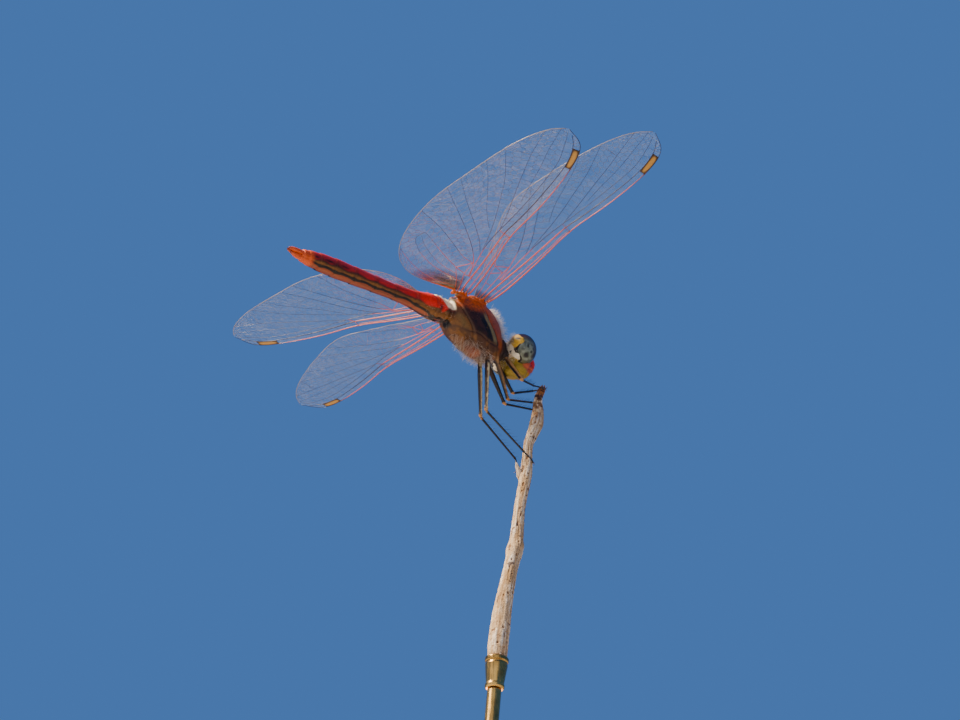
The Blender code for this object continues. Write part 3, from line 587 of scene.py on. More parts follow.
class Wing:
    """One wing: its lines on the flat sheet, and the sheet's place in the body frame."""

    def __init__(self, name):
        kind, side = name.split("_")
        self.plan = {"forewing": FOREWING, "hindwing": HINDWING}[kind]
        self.mirror = SIDES[side]
        sweep, rise, twist = np.radians(WING_POSES[name])
        self.span = np.array([math.sin(sweep) * math.cos(rise), math.cos(sweep) * math.cos(rise),
                              math.sin(rise)])
        level = np.array([math.cos(sweep), -math.sin(sweep), 0])
        self.forward = level * math.cos(twist) + np.cross(level, self.span) * math.sin(twist)
        self.normal = np.cross(self.forward, self.span)
        self.lines = {key: curve(self.plan[key], 160) for key in ("lead", "trail")}
        for key, vein in self.plan["veins"].items():
            self.lines[key] = curve(vein[4:], 90)
        self.pleats = [(self.lines["lead"][::4], 0.1), (self.lines["trail"][::4], 0)]
        self.pleats += [(self.lines[key][::4], vein[2]) for key, vein in self.plan["veins"].items()]

    def height(self, flat):
        """Height of the pleated sheet: the heights of all veins, weighted by one over the squared
        distance to each, so that the sheet folds up at one vein and down at the next."""
        total = np.zeros(len(flat))
        weight = np.full(len(flat), 1 / PLEAT_REACH ** 2)
        for line, rise in self.pleats:
            step = np.diff(line, axis=0)
            local = flat[:, None] - line[None, :-1]
            share = np.clip((local * step).sum(-1) / (step ** 2).sum(-1), 0, 1)
            gap = ((local - share[..., None] * step) ** 2).sum(-1).min(axis=1) + PLEAT_EDGE ** 2
            total += rise / gap
            weight += 1 / gap
        fade = 1 - 0.6 * np.clip(flat[:, 0] / self.plan["length"], 0, 1)
        return total / weight * fade

    def place(self, flat, lift=0):
        """Body frame points of flat (out, forward) points, lifted off the pleated, drooping sheet."""
        out, ahead = flat[:, 0], flat[:, 1]
        inner = np.clip(1 - out / self.plan["length"], 0, 1)
        droop = -self.plan["sag"] * np.clip(-ahead, 0, None) / 10 * inner ** 3
        rise = droop + self.height(flat) + lift
        points = (np.array(self.plan["hinge"]) + self.span * (out[:, None] + ROOT_GAP)
                  + self.forward * ahead[:, None] + self.normal * rise[:, None])
        return points * self.mirror


def wing_veins(name, colours, finest):
    """Veins of a wing: tapering tubes along the main veins and edges, and tubes of the finest radius for
    the cells' walls."""
    wing = Wing(name)
    plan = wing.plan
    shape = Shape()
    rng = np.random.default_rng(11)
    # The right wings' points are mirrored after their frame is made, and so is their normal
    square = wing.normal * wing.mirror

    def tube(flat, radius, reach, tone="red"):
        out = flat[:, 0]
        redness = 1 - ramp(reach * 0.86, reach * 1.05, out) if reach else np.zeros(len(out))
        tint = paint(colours, "black", (np.repeat(redness, 8), tone),
                     (np.repeat(ramp(1.6, 0.1, out), 8) * 0.8, "root"))
        shape.add(*bundle(wing.place(flat)[None], radius, 8, square), paint=tint)

    for key, (thick, thin, _, reach, *points) in plan["veins"].items():
        if points[0][0] <= 0.2:
            points.insert(0, (-0.5, points[0][1]))
        flat = curve(points, 60)
        tube(flat, VEIN_GIRTH * (thick + (thin - thick) * ramp(0, 1, np.linspace(0, 0.9, 60))), reach,
             "root" if key == "strut" else "red")
    lead = wing.lines["lead"][::2]
    at = lead[:, 0]
    edge = 0.08 - 0.035 * ramp(0, 24, at)
    stigma = ramp(plan["stigma"][0] - 0.15, plan["stigma"][0], at)
    stigma = stigma * (1 - ramp(plan["stigma"][1], plan["stigma"][1] + 0.15, at))
    tube(lead, edge * (1 - 0.35 * ramp(25, 28, at)) + 0.02 * stigma, plan["stigma"][0])
    # The trailing margin is painted pale: its pale brownish vein, lightened as a painted highlight where
    # light catches the edge
    margin = bundle(wing.place(wing.lines["trail"][::2])[None], MARGIN_RADIUS, 6, square)
    shape.add(*margin, paint=paint(colours, "pale"))
    for tie in plan["ties"]:
        tube(curve(tie, 12), TIE_RADIUS, 15)
    walls = np.concatenate([cell_walls(wing.lines, field, rng) for field in plan["fields"]])
    ends = np.stack([wing.place(walls[:, 0]), wing.place(walls[:, 1])], 1)
    first = walls[:, 0, 0]
    near_edge = walls[:, :, 1].max(axis=1) > -1
    radius = finest * (1 + 0.5 * (1 - ramp(2, plan["nodus"], first)) * near_edge)
    redness = (1 - ramp(plan["nodus"] * 0.85, plan["nodus"], first)) * np.where(near_edge, 0.9, 0.25)
    # The cells' walls are painted grey, lighter than the dark main veins: a painted sheen that stands for
    # sunlit walls
    shape.add(*bundle(ends, radius[:, None], 5, square),
              paint=paint(colours, "net", (np.repeat(redness, 2 * 5), "red")))
    return shape


def between(front, rear, columns):
    """Flat points of straight rows from front points to rear ones, and how far across each row is."""
    across = np.linspace(0, 1, columns)[None, :, None]
    return (front[:, None] * (1 - across) + rear[:, None] * across).reshape(-1, 2), across[..., 0]


def two_sheets(place, flat, half, rows, columns):
    """Points and faces of a thin closed form: a sheet half above and half below the wing's own, joined
    round their rims."""
    quads = grid_faces(rows, columns, wrap=False)
    total = rows * columns
    index = np.arange(total).reshape(rows, columns)
    rim = np.concatenate((index[0, :-1], index[:-1, -1], index[-1, :0:-1], index[:0:-1, 0]))
    following = np.roll(rim, -1)
    wall = np.stack((rim, rim + total, following + total, following), -1)
    points = np.concatenate((place(flat, half), place(flat, -half)))
    return points, outward(points, [quads, quads[:, ::-1] + total, wall])


def wing_membrane(name, colours, thickness):
    """Membrane of a wing: rows from the leading to the trailing edge at each share of their lengths, on
    the pleated sheet. It is most tinted at the root, and amber behind the hind wing's root."""
    wing = Wing(name)
    rows, columns = 150, 56
    shares = np.linspace(0, 1, rows)
    flat, _ = between(*(read_line(wing.lines[key], shares) for key in ("lead", "trail")), columns)
    tip = 0.02 + 0.98 * ramp(1, 0.985, np.repeat(shares, columns))
    flat = flat * tip[:, None] + wing.lines["lead"][-1] * (1 - tip[:, None])
    points, faces = two_sheets(wing.place, flat, thickness / 2, rows, columns)
    out, ahead = flat[:, 0], flat[:, 1]
    if name.startswith("hindwing"):
        amber = ramp(3.4, 0.6, np.hypot(out * 0.9, (ahead + 2.6) * 0.55)) * ramp(-0.9, -1.5, ahead)
        amber = np.maximum(amber, ramp(1.6, 0.2, out) * 0.5)
    else:
        amber = ramp(1.8, 0.2, out) * 0.7
    streak = noise(np.stack((out * 3, ahead * 0.5, 0 * out), -1), 0.5, 6)
    stain = FILM_STAIN + 0.75 * amber * (0.6 + 0.5 * streak)
    tint = paint(colours, "clear", (ramp(0, 0.25, amber), "amber"),
                 (amber * ramp(0.45, 0.7, streak) * 0.8, "umber"))
    return Shape(points, faces, paint=np.tile(tint, (2, 1)), stain=np.tile(stain, 2))


def wing_stigma(name, colours):
    """The wing mark: a swollen cell between the leading edge and the vein behind it, dark-rimmed."""
    wing = Wing(name)
    first, last = wing.plan["stigma"]
    rows, columns = 40, 14
    share = np.linspace(0, 1, rows)
    edges = []
    for key in ("lead", "RA"):
        line = wing.lines[key]
        start, end = place_on(line, first), place_on(line, last)
        edges.append(read_line(line, start + (end - start) * share))
    flat, across = between(*edges, columns)
    crown = (np.clip(np.sin(np.pi * across), 0, 1) ** 0.5
             * np.clip(np.sin(np.pi * share)[:, None], 0, 1) ** 0.3).reshape(-1)
    half = STIGMA_THICKNESS / 2 * crown + 0.008
    tint = paint(colours, "black", (ramp(0.45, 0.85, crown), "ochre"))
    return Shape(*two_sheets(wing.place, flat, half, rows, columns), paint=np.tile(tint, (2, 1)))


def wing_roots(colours):
    """The hinge plates: flattened ellipsoids in each wing's plane, at the feet of its strong veins."""
    shape = Shape()
    for name in WING_POSES:
        wing = Wing(name)
        turn = np.stack((wing.span, wing.forward, wing.normal), -1) * wing.mirror[:, None]
        depth = 1 if name.startswith("forewing") else 0.8
        for out, ahead, lift, radii in ((-0.3, 0.05, 0.05, (0.42, 0.2, 0.17)),
                                        (-0.26, -0.42, 0.1, (0.46, 0.17, 0.15)),
                                        (-0.22, -0.85, 0.02, (0.4, 0.24, 0.13)),
                                        (-0.2, -1.35, -0.03, (0.36, 0.2, 0.12)),
                                        (-0.28, -1.85, -0.06, (0.3, 0.22, 0.1))):
            centre = wing.place(np.array([[out, ahead * depth]]), lift)[0]
            points, faces = ellipsoid(centre, radii, 16, 24, 2, turn)
            mark = noise(points, 0.25, 13)
            shape.add(points, faces, paint=paint(
                colours, "root", (ramp(0.6, 0.75, mark) * 0.7, "amber"),
                (ramp(0.35, 0.2, mark) * 0.6, "umber"),
                (ramp(0.74, 0.84, noise(points, 0.2, 14)) * 0.8, "clear")))
    return shape


# ---- Body skin ----

HEAD = np.array([5.95, 0, -3.5])
# Forms of the head: offset from its middle, radii, fullness of the corners
HEAD_FORMS = {
    "head": ((-0.04, 0, -0.28), (1.42, 2.98, 1.76), 2),
    "vertex": ((1.4, 0, 0.62), (0.4, 0.46, 0.5), 2.2),
    "frons": ((1.72, 0, -0.62), (1.22, 1.18, 0.98), 2.3),
    "clypeus": ((1.45, 0, -1.42), (1.05, 1.4, 0.62), 2.3),
    "labrum": ((1.2, 0, -2), (0.95, 1.15, 0.5), 2.2),
    "labium": ((0.35, 0, -2.02), (1.22, 1.55, 0.72), 2.2),
    "occiput": ((-0.3, 0, 1.22), (0.62, 0.5, 0.42), 2),
}
RING_COLUMNS = 72                 # points round the thorax and the abdomen
THORAX_WIDEST = 0.52              # share of the thorax's height at which it is widest, from below
# Distance ahead of the hinges, top, bottom and half width of the thorax
THORAX_SECTIONS = (
    (-3.75, -0.35, -3.85, 1.55), (-2.9, 0.42, -4.5, 2.05), (-1.3, 0.78, -5.25, 2.32),
    (0.3, 0.74, -5.85, 2.32), (1.5, 0.18, -6, 2.15), (2.45, -0.75, -5.8, 1.85), (3.1, -1.95, -5.3, 1.35),
)
# Distance ahead, middle, half width, height above and below the middle of the first thorax ring
PROTHORAX_SECTIONS = (
    (2.8, -3.6, 0.9, 0.9, 1.3), (3.22, -3.7, 1.2, 1.25, 1.45), (3.42, -3.68, 1.38, 1.45, 1.6),
    (3.6, -3.68, 1.28, 1.18, 1.58), (3.85, -3.75, 1.25, 1.16, 1.5), (4.1, -3.8, 1, 0.85, 1.2),
    (4.22, -3.7, 0.6, 0.55, 0.7), (4.8, -3.5, 0.55, 0.5, 0.5), (5.4, -3.5, 0.5, 0.45, 0.45),
)
ABDOMEN_FRONT = np.array([-4, 0, -2.1])
ABDOMEN_LENGTH = 20.45
ABDOMEN_DROOP, ABDOMEN_SWING = math.radians(6.8), math.radians(-3.4)
BACK = np.array([-math.cos(ABDOMEN_DROOP) * math.cos(ABDOMEN_SWING),
                 math.cos(ABDOMEN_DROOP) * math.sin(ABDOMEN_SWING), -math.sin(ABDOMEN_DROOP)])
SIDE = unit(np.cross(BACK, UP))
OVER = np.cross(SIDE, BACK)
SEGMENT_SHARES = (0.9, 1.7, 2.9, 3.1, 3.1, 3.1, 2.8, 2.1, 1.4, 0.9)
JOINTS = np.cumsum((0,) + SEGMENT_SHARES) / sum(SEGMENT_SHARES)
GIRTH = np.array(((-0.05, 1.05), (0, 1.22), (0.06, 1.42), (0.14, 1.4), (0.22, 1.1), (0.31, 0.92),
                  (0.45, 0.9), (0.62, 0.96), (0.76, 1.02), (0.86, 0.97), (0.94, 0.82), (1, 0.62)))
LEG_ROOTS = {"fore": (4.15, 0.75, -5), "mid": (2.8, 0.75, -5.75), "hind": (1.5, 0.66, -6.1)}
COXA_HEIGHT = {"fore": 0.62, "mid": 0.86, "hind": 0.86}
COXA_LEAN = math.radians(-8)
# Sutures of the thorax's side: each lies at one value of x + 0.7 (z + 2.5)
HUMERAL, INTERPLEURAL, METAPLEURAL = 0.6, -0.95, -2.85


def upright_ring(x, middle, half, above, below, power):
    """Upright superellipse rings across the body: one row for each value of the arrays."""
    angle = angles_round(RING_COLUMNS)[None]
    across, lift = bent(np.cos(angle), power), bent(np.sin(angle), power)
    x, middle, half, above, below = (np.asarray(v, float)[:, None] for v in (x, middle, half, above, below))
    height = np.where(lift > 0, above, below)
    return np.stack(np.broadcast_arrays(x, across * half, middle + lift * height), -1)


def thorax_surface():
    """The thorax: its sections joined smoothly, rounded over at both ends by a quarter circle."""
    rows = curve(THORAX_SECTIONS, 70)
    turn = np.radians(np.linspace(78, 8, 9))[:, None]
    ends = []
    for end, reach in ((rows[:1], -0.5), (rows[-1:], 0.35)):
        middle = end[:, 2:3] + (end[:, 1:2] - end[:, 2:3]) * THORAX_WIDEST
        shrink = np.cos(turn)
        ends.append(np.hstack((end[:, :1] + reach * np.sin(turn), middle + (end[:, 1:2] - middle) * shrink,
                               middle + (end[:, 2:3] - middle) * shrink, end[:, 3:] * shrink)))
    rows = np.vstack((ends[0], rows, ends[1][::-1]))
    middle = rows[:, 2] + (rows[:, 1] - rows[:, 2]) * THORAX_WIDEST
    return closed_loft(upright_ring(rows[:, 0], middle, rows[:, 3], rows[:, 1] - middle,
                                    middle - rows[:, 2], power=2.35))


def ring_places(share):
    """Number of the abdomen's ring at each share of its length, and how far along that ring it lies."""
    ring = np.clip(np.searchsorted(JOINTS, share, side="right") - 1, 0, 9)
    return ring, (share - JOINTS[ring]) / (JOINTS[ring + 1] - JOINTS[ring])


def abdomen_surface():
    """The abdomen: superellipse rings along its axis. Each of its ten rings widens to its rear edge,
    behind which a groove runs round."""
    share = np.linspace(-0.03, 1, 360)
    half = np.interp(share, *curve(GIRTH, 200).T)
    _, inside = ring_places(share)
    half = half * (1 + 0.05 * (ramp(0, 1, inside) - 0.5) * (share > 0))
    for joint in JOINTS[1:-1]:
        half = half - 0.045 * bump(share, joint + 0.0035, 0.0045)
    tail = ramp(1, 0.985, share)
    half = half * (0.62 + 0.38 * tail)
    angle = angles_round(RING_COLUMNS)[None]
    across = bent(np.cos(angle), 2.15) * half[:, None] * 0.98
    lift = bent(np.sin(angle), 2.15) * half[:, None]
    lift = np.where(lift < 0, lift * 0.92, lift)
    centre = ABDOMEN_FRONT + BACK * (share * ABDOMEN_LENGTH)[:, None]
    return closed_loft(centre[:, None] + SIDE * across[..., None] + OVER * lift[..., None])


def skin_parts():
    """All closed forms that are fused into the skin, as (points, faces)."""
    parts = [thorax_surface(), abdomen_surface()]
    rows = curve(PROTHORAX_SECTIONS, 60)
    parts.append(closed_loft(upright_ring(*rows.T, power=2.1)))
    for offset, radii, power in HEAD_FORMS.values():
        parts.append(ellipsoid(HEAD + offset, radii, 48, 80, power))
    lean = np.array([[math.cos(COXA_LEAN), 0, math.sin(COXA_LEAN)], [0, 1, 0],
                     [-math.sin(COXA_LEAN), 0, math.cos(COXA_LEAN)]])
    for mirror in SIDES.values():
        for pair, root in LEG_ROOTS.items():
            height = COXA_HEIGHT[pair]
            centre = (root + np.array([-0.12, 0, height * 0.84])) * mirror
            parts.append(ellipsoid(centre, (0.5, 0.44, height), turn=lean))
        for centre, radii, *net in (
                # Plates below the fore and the hind wing
                ((-0.95, 1.72, 0.02), (1.35, 0.42, 0.42)), ((-3.15, 1.58, -0.2), (0.95, 0.44, 0.42)),
                # The temple behind the eye, its outer bulge first, and the cheek below the eye
                (HEAD + (-1, 2.2, 0.22), (0.5, 0.77, 0.66), 40, 64),
                (HEAD + (-1.05, 1.58, 0.22), (0.5, 1.17, 1.22), 40, 64),
                (HEAD + (-0.8, 1.5, -0.7), (0.62, 0.95, 1), 40, 64),
                (HEAD + (0.62, 1.28, -1.42), (0.78, 0.62, 0.78)),
                # Plates of the back between the wings
                ((-0.1, 0.55, 0.62), (0.95, 0.62, 0.42)), ((-2.55, 0.5, 0.36), (0.62, 0.5, 0.36))):
            parts.append(ellipsoid(centre * mirror, radii, *net))
        # The lumps under the abdomen's second ring
        at = ABDOMEN_FRONT + BACK * 1.9 + SIDE * 0.28 * mirror[1] - OVER * 1.24
        parts.append(ellipsoid(at, (0.42, 0.2, 0.26)))
    parts.append(ellipsoid((-1.35, 0, 0.72), (0.36, 0.42, 0.34)))
    parts.append(ellipsoid((-3.3, 0, 0.05), (0.3, 0.34, 0.3)))
    return parts


def fuse(parts, grain):
    """One closed skin round all the parts, as a net of quads of that size. A throwaway object carries
    the Remesh modifier, at one metre to the millimetre."""
    shape = Shape()
    for part in parts:
        shape.add(*part)
    mesh = bpy.data.meshes.new("fusing")
    rows = [row.tolist() for block in shape.faces for row in block]
    mesh.from_pydata(np.concatenate(shape.points), [], rows)
    rough = bpy.data.objects.new("fusing", mesh)
    bpy.context.scene.collection.objects.link(rough)
    step = rough.modifiers.new("fuse", "REMESH")
    step.mode = "VOXEL"
    step.voxel_size = grain
    fused = rough.evaluated_get(bpy.context.evaluated_depsgraph_get()).to_mesh()
    points = read(fused.vertices, "co", 3)
    edges = read(fused.edges, "vertices", 2, np.int32)
    loops = read(fused.loops, "vertex_index", 1, np.int32)[:, 0]
    starts = read(fused.polygons, "loop_start", 1, np.int32)[:, 0]
    totals = read(fused.polygons, "loop_total", 1, np.int32)[:, 0]
    faces = [loops[starts[totals == width][:, None] + np.arange(width)] for width in np.unique(totals)]
    rough.to_mesh_clear()
    bpy.data.objects.remove(rough)
    bpy.data.meshes.remove(mesh)
    return points, edges, faces


def read(items, name, width, kind=np.float32):
    """All values of one attribute of a mesh's vertices, edges, loops or polygons."""
    values = np.empty(len(items) * width, kind)
    items.foreach_get(name, values)
    return values.reshape(-1, width).astype(float if kind == np.float32 else np.int64)


def relax(points, edges, rounds):
    """Smooths a net without shrinking it: in turn, points move half-way to their neighbours' mean and
    then a little more than that back."""
    count = len(points)
    near, far = edges.T
    links = np.bincount(near, minlength=count) + np.bincount(far, minlength=count)
    for factor in (0.5, -0.52) * rounds:
        mean = np.stack([np.bincount(near, points[far, k], count) + np.bincount(far, points[near, k], count)
                         for k in range(3)], -1) / links[:, None]
        points = points + factor * (mean - points)
    return points


def normals_of(points, faces):
    """Unit normals of a net's points: the sum of its quads' cross products at each."""
    total = np.zeros_like(points)
    for block in faces:
        corner = points[block]
        face = np.cross(corner[:, 2] - corner[:, 0], corner[:, -1] - corner[:, 1])
        for k in range(3):
            total[:, k] += np.bincount(block.ravel(), np.repeat(face[:, k], block.shape[1]), len(points))
    return unit(total)


def body_regions(points):
    """Places in the body's own measures: share of the abdomen's length, angle round it in degrees from
    its side (0) to its back (90) or belly (-90), and masks of the abdomen and head."""
    local = points - ABDOMEN_FRONT
    share = local @ BACK / ABDOMEN_LENGTH
    angle = np.degrees(np.arctan2(local @ OVER, np.abs(local @ SIDE)))
    abdomen = ramp(-0.008, 0.004, share)
    ahead = points[:, 0] + 0.2 * np.clip(np.abs(points[:, 1]) - 0.6, 0, 0.6)
    head = ramp(4.44, 4.52, ahead)
    return share, angle, abdomen, head


def carve(points, normals):
    """Moves the skin's points along their normals: sutures and grooves down, ridges up."""
    x, y, z = points.T
    wide = np.abs(y)
    share, angle, abdomen, head = body_regions(points)
    trunk = (1 - abdomen) * (1 - head)
    lift = np.zeros(len(points))
    # Sutures of the thorax's side
    slant = x + 0.7 * (z + 2.5)
    wavy = slant + 0.1 * np.sin(z * 2.1 + 0.6)
    flank = trunk * ramp(0.9, 1.3, wide) * ramp(0.35, -0.1, z)
    lift -= 0.085 * flank * bump(wavy, HUMERAL, 0.1)
    lift -= 0.06 * flank * bump(wavy, INTERPLEURAL, 0.09) * ramp(-2, -2.8, z)
    lift -= 0.085 * flank * bump(wavy, METAPLEURAL, 0.1)
    lift += 0.05 * flank * bump(wavy, METAPLEURAL + 0.3, 0.16)
    lift += 0.06 * flank * bump(wavy, HUMERAL - 0.36, 0.2)
    # Lower edge of the side plates above the legs, and the breathing slit
    lower = z + 0.16 * x + 4.55 + 0.1 * np.sin(x * 2)
    lift -= 0.06 * flank * bump(lower, 0, 0.1) * ramp(-2.6, -1.6, x)
    lift -= 0.12 * trunk * bump(x, 0.02, 0.14) * bump(z, -3.35, 0.26) * ramp(1, 1.5, wide)
    # Ridge down the middle of the front and the crest before the wings
    front = trunk * ramp(0.9, 1.4, x) * ramp(3.25, 2.9, x)
    lift += 0.1 * front * bump(wide, 0, 0.09) * ramp(-2.9, -2.2, z)
    lift -= 0.05 * front * bump(wide, 0.26, 0.13) * ramp(-2.9, -2.2, z)
    crest = bump(x - 0.16 * wide, 1.05, 0.11) * ramp(2, 1.6, wide) * ramp(-0.4, 0.1, z)
    lift += 0.12 * trunk * crest
    lift -= 0.13 * trunk * bump(x - 0.16 * wide, 0.76, 0.13) * ramp(1.9, 1.5, wide) * ramp(-0.2, 0.2, z)
    # Grooves between the back's plates
    top = trunk * ramp(-0.2, 0.25, z) * ramp(1.55, 1.2, wide)
    lift -= 0.09 * top * (bump(x, -1.05, 0.08) + bump(x, -1.78, 0.1) + bump(x, -3, 0.07))
    lift -= 0.05 * top * bump(wide, 0, 0.07)
    # First ring of the thorax: a cross furrow
    lift -= 0.05 * trunk * bump(x, 3.72, 0.06)
    # Abdomen: ridge on the back, edge between back and belly plates, faint cross ridge on rings 2 and 3
    lift += 0.035 * abdomen * bump(angle, 90, 5) * ramp(0.02, 0.08, share)
    lift -= 0.04 * abdomen * bump(angle, -42, 6)
    lift += 0.03 * abdomen * (bump(share, 0.085, 0.006) + bump(share, 0.165, 0.006)) * ramp(-30, 0, angle)
    # Face: furrow down the frons, grooves between frons, clypeus and labrum, split of the labium
    face = head * ramp(6.9, 7.2, x)
    lift -= 0.16 * face * bump(wide, 0, 0.16) * ramp(-4.7, -4.2, z)
    lift -= 0.07 * face * (bump(z, -4.62, 0.05) + bump(z, -4.95, 0.045) + bump(z, -5.28, 0.045))
    under = head * ramp(-5.1, -5.5, z) * ramp(7, 6.7, x)
    lift -= 0.06 * under * (bump(wide, 0, 0.05) + bump(wide, 0.62 - 0.2 * (x - 6), 0.05))
    # Back of the head: rim behind the eyes
    rear = head * ramp(5.2, 4.9, x)
    lift -= 0.05 * rear * bump(z + 3.5 - 0.08 * np.sin(y * 3), -1.06, 0.05)
    lift += 0.02 * rear * (noise(points, 0.12, 9) - 0.5)
    # Pits and wrinkles
    lift += 0.022 * (noise(points, 0.34, 3) - 0.5) * trunk + 0.01 * (noise(points, 0.17, 4) - 0.5)
    return points + normals * lift[:, None]


def skin_tint(points, tints):
    """Colours of the skin's points, from masks made of their places in the body frame."""
    x, y, z = points.T
    wide = np.abs(y)
    share, angle, abdomen, head = body_regions(points)
    blotch = noise(points, 0.55, 7)
    speck = noise(points, 0.2, 8)
    # Thorax
    slant = x + 0.7 * (z + 2.5) + 0.1 * np.sin(z * 2.1 + 0.6) + 0.22 * (blotch - 0.5)
    low = ramp(-4.2, -4.9, z + 0.16 * x)
    flank = ramp(1.1, 1.5, wide)
    layers = [
        (ramp(METAPLEURAL, METAPLEURAL - 0.4, slant) * 0.7, "ochre"),
        (bump(slant, -3.3, 0.8) * ramp(-3.3, -2.5, z) * 0.8, "umber"),
        (bump(slant, -3.7, 0.42) * ramp(-2.5, -3, z) * ramp(-5, -4.5, z) * 0.8, "olive"),
        (ramp(-3.1, -2.65, slant) * 0.95, "umber"),
        (ramp(-2.5, -2, slant) * ramp(-4.7, -4.1, z) * ramp(0.3, 0.6, blotch) * 0.7, "black"),
        (ramp(-1.15, -0.8, slant) * ramp(0, -0.2, slant) * ramp(-2, -2.6, z), "black"),
        (ramp(-0.25, -0.1, slant) * ramp(0.62, 0.48, slant) * ramp(-1.5, -2.1, z)
         * ramp(-4.9, -4.2, z), "stripe"),
        (ramp(0.54, 0.66, slant), "russet"),
        (bump(slant, HUMERAL, 0.09) * ramp(-1.2, -1.8, z), "black"),
        (ramp(2.75, 3.2, x) * ramp(-2.2, -2.9, z) * 0.6, "umber"),
        (ramp(-2.3, -1.1, z + 0.6 * (blotch - 0.5)) * ramp(-3.6, -2.4, slant) * flank
         * (0.5 + 0.5 * ramp(0.35, 0.6, speck)), "rust"),
        (low * 0.8, "ochre"),
        (low * ramp(0.4, 0.6, blotch) * 0.7, "umber"),
        (ramp(-5.5, -5.9, z + 0.25 * x) * ramp(1, 0, x) * 0.5, "rust"),
        (bump(z + 0.16 * x + 4.55 + 0.1 * np.sin(x * 2), 0, 0.1) * 0.7, "umber"),
        (ramp(-0.8, -0.3, z + 0.1 * (x + 1)) * flank, "rust"),
        (ramp(-0.1, 0.3, z) * ramp(1.6, 1.2, wide), "russet"),
        (ramp(0.35, 0.6, z) * bump(wide, 0.5, 0.3) * (bump(x, -0.3, 0.5) + bump(x, -2.5, 0.35)) * 0.6,
         "ochre"),
        (ramp(-3.7, -3.95, x) * ramp(-3, -2.4, z) * 0.8, "stripe"),
        (bump(x, 0.02, 0.2) * bump(z, -3.35, 0.34) * ramp(1, 1.5, wide), "black"),
        (ramp(3.1, 3.3, x) * 0.75, "umber"),
        (ramp(3.2, 3.5, x) * ramp(-2.9, -3.5, z) * 0.85, "black"),
        (bump(x, 3.42, 0.1) * ramp(-3.4, -2.6, z) * 0.8, "ochre"),
        (ramp(0.55, 0.8, speck) * 0.25, "umber"),
    ]
    trunk = paint(tints, "tan", *layers)
    # Abdomen
    ring, inside = ring_places(share)
    inside = np.clip(inside, 0, 1)
    joint = bump(np.minimum(inside * (ring > 0), 1 - inside), 0, 0.1)
    wave = np.sin(math.pi * inside) ** 2
    zigzag = -58 + 7 * wave + 5 * (blotch - 0.5) - 25 * ramp(0.3, 0.1, share)
    early = ramp(0.34, 0.12, share)
    edge = -17 - 7 * wave + 9 * (blotch - 0.5) - 12 * early * ramp(0.04, 0.08, share)
    late = ramp(0.925, 0.955, share)
    layers = [
        (ramp(0.5, 0.75, blotch) * 0.4, "umber"),
        (ramp(zigzag - 2, zigzag - 7, angle), "amber"),
        (ramp(edge - 5, edge + 4, angle), "crimson"),
        # Scarlet on the upper sides of the third and fourth rings: a painted highlight where light falls on
        # the back
        (ramp(28, 50, angle) * ramp(0.14, 0.3, share) * 0.5, "scarlet"),
        (ramp(edge - 5, edge + 4, angle) * early, "scarlet"),
        (bump(angle, edge - 1, 8) * (1 - 0.75 * early) * 0.8, "umber"),
        (bump(angle, -6, 12) * ramp(0.68, 0.76, share) * (0.55 + 0.45 * wave), "black"),
        (ramp(11, 6, np.abs(angle - zigzag) - 4 * joint), "black"),
        (bump(angle, zigzag - 21, 4) * bump(share, 0.45, 0.14) * 0.8, "umber"),
        (joint * ramp(-30, -10, angle) * 0.55, "umber"),
        (bump(share, 0.1, 0.012) * bump(angle, -22, 14), "umber"),
        (ramp(0.06, 0.03, share) * ramp(-50, -20, angle) * 0.8, "umber"),
        # Cream on the back of the first two rings: pale skin at the joint with the thorax, lightened as a
        # painted highlight where it is lit
        (ramp(0.135, 0.12, share) * ramp(-14, -4, angle - 52 * ramp(0.04, 0.125, share))
         * ramp(84, 64, angle), "cream"),
        (bump(angle, 90, 10) * (bump(share, 0.8, 0.035) + bump(share, 0.885, 0.028)), "black"),
        (late * 0.9, "flame"),
    ]
    tail = paint(tints, "ochre", *layers)
    # Head
    local = points - HEAD
    rear = ramp(5.75, 5.5, x)
    height = local[:, 2]
    # Places along and across the pale band that runs from the neck down to the cheek
    down = 0.607 * (wide - 0.83) - 0.796 * height
    across = 0.796 * (wide - 0.83) + 0.607 * height
    layers = [
        (ramp(-0.98, -1.1, height), "cheek"),
        (ramp(0.66, 0.46, np.abs(across - 0.05) + 0.1 * down) * ramp(2.2, 1.9, down) * rear, "cream"),
        (bump(wide, 1.82, 0.1) * bump(height, -0.55, 0.16) * rear, "umber"),
        (ramp(0.1, 0.4, height) * ramp(2, 1.8, wide) * rear * 0.7, "umber"),
        (bump(wide, 2.45, 0.36) * bump(height + 0.43 * (wide - 2.45), 0.52, 0.13) * rear * 1.8, "black"),
        # Black round the neck's opening at the back of the head: painted shadow where the head meets the neck
        (ramp(0.85, 0.65, np.hypot(wide, (height + 0.35) * 0.9)) * rear, "black"),
        (ramp(0.7, 1, height) * ramp(1.6, 1.2, wide) * 0.85, "umber"),
        (ramp(5.75, 6.25, x + 0.35 * (z + 5) + 0.3 * (blotch - 0.5)) * ramp(-5.9, -5.6, z)
         * ramp(-3.9, -4.3, z) * 0.9, "coral"),
        (ramp(6.7, 7.1, x) * ramp(-5.3, -4.9, z), "crimson"),
        (ramp(6.9, 7.2, x) * ramp(-4.75, -4.6, z) * 0.8, "scarlet"),
        (ramp(7.2, 7, x) * ramp(6.2, 6.5, x) * ramp(-4, -3.4, z), "black"),
        (ramp(-3.35, -3.1, z) * ramp(6.9, 7.1, x) * ramp(0.52, 0.45, wide), "umber"),
        (bump(z, -4.62, 0.035) * ramp(6.9, 7.2, x) * 0.5, "umber"),
    ]
    skull = paint(tints, "yellow", *layers)
    colour = trunk * (1 - abdomen[:, None]) + tail * abdomen[:, None]
    return colour * (1 - head[:, None]) + skull * head[:, None]


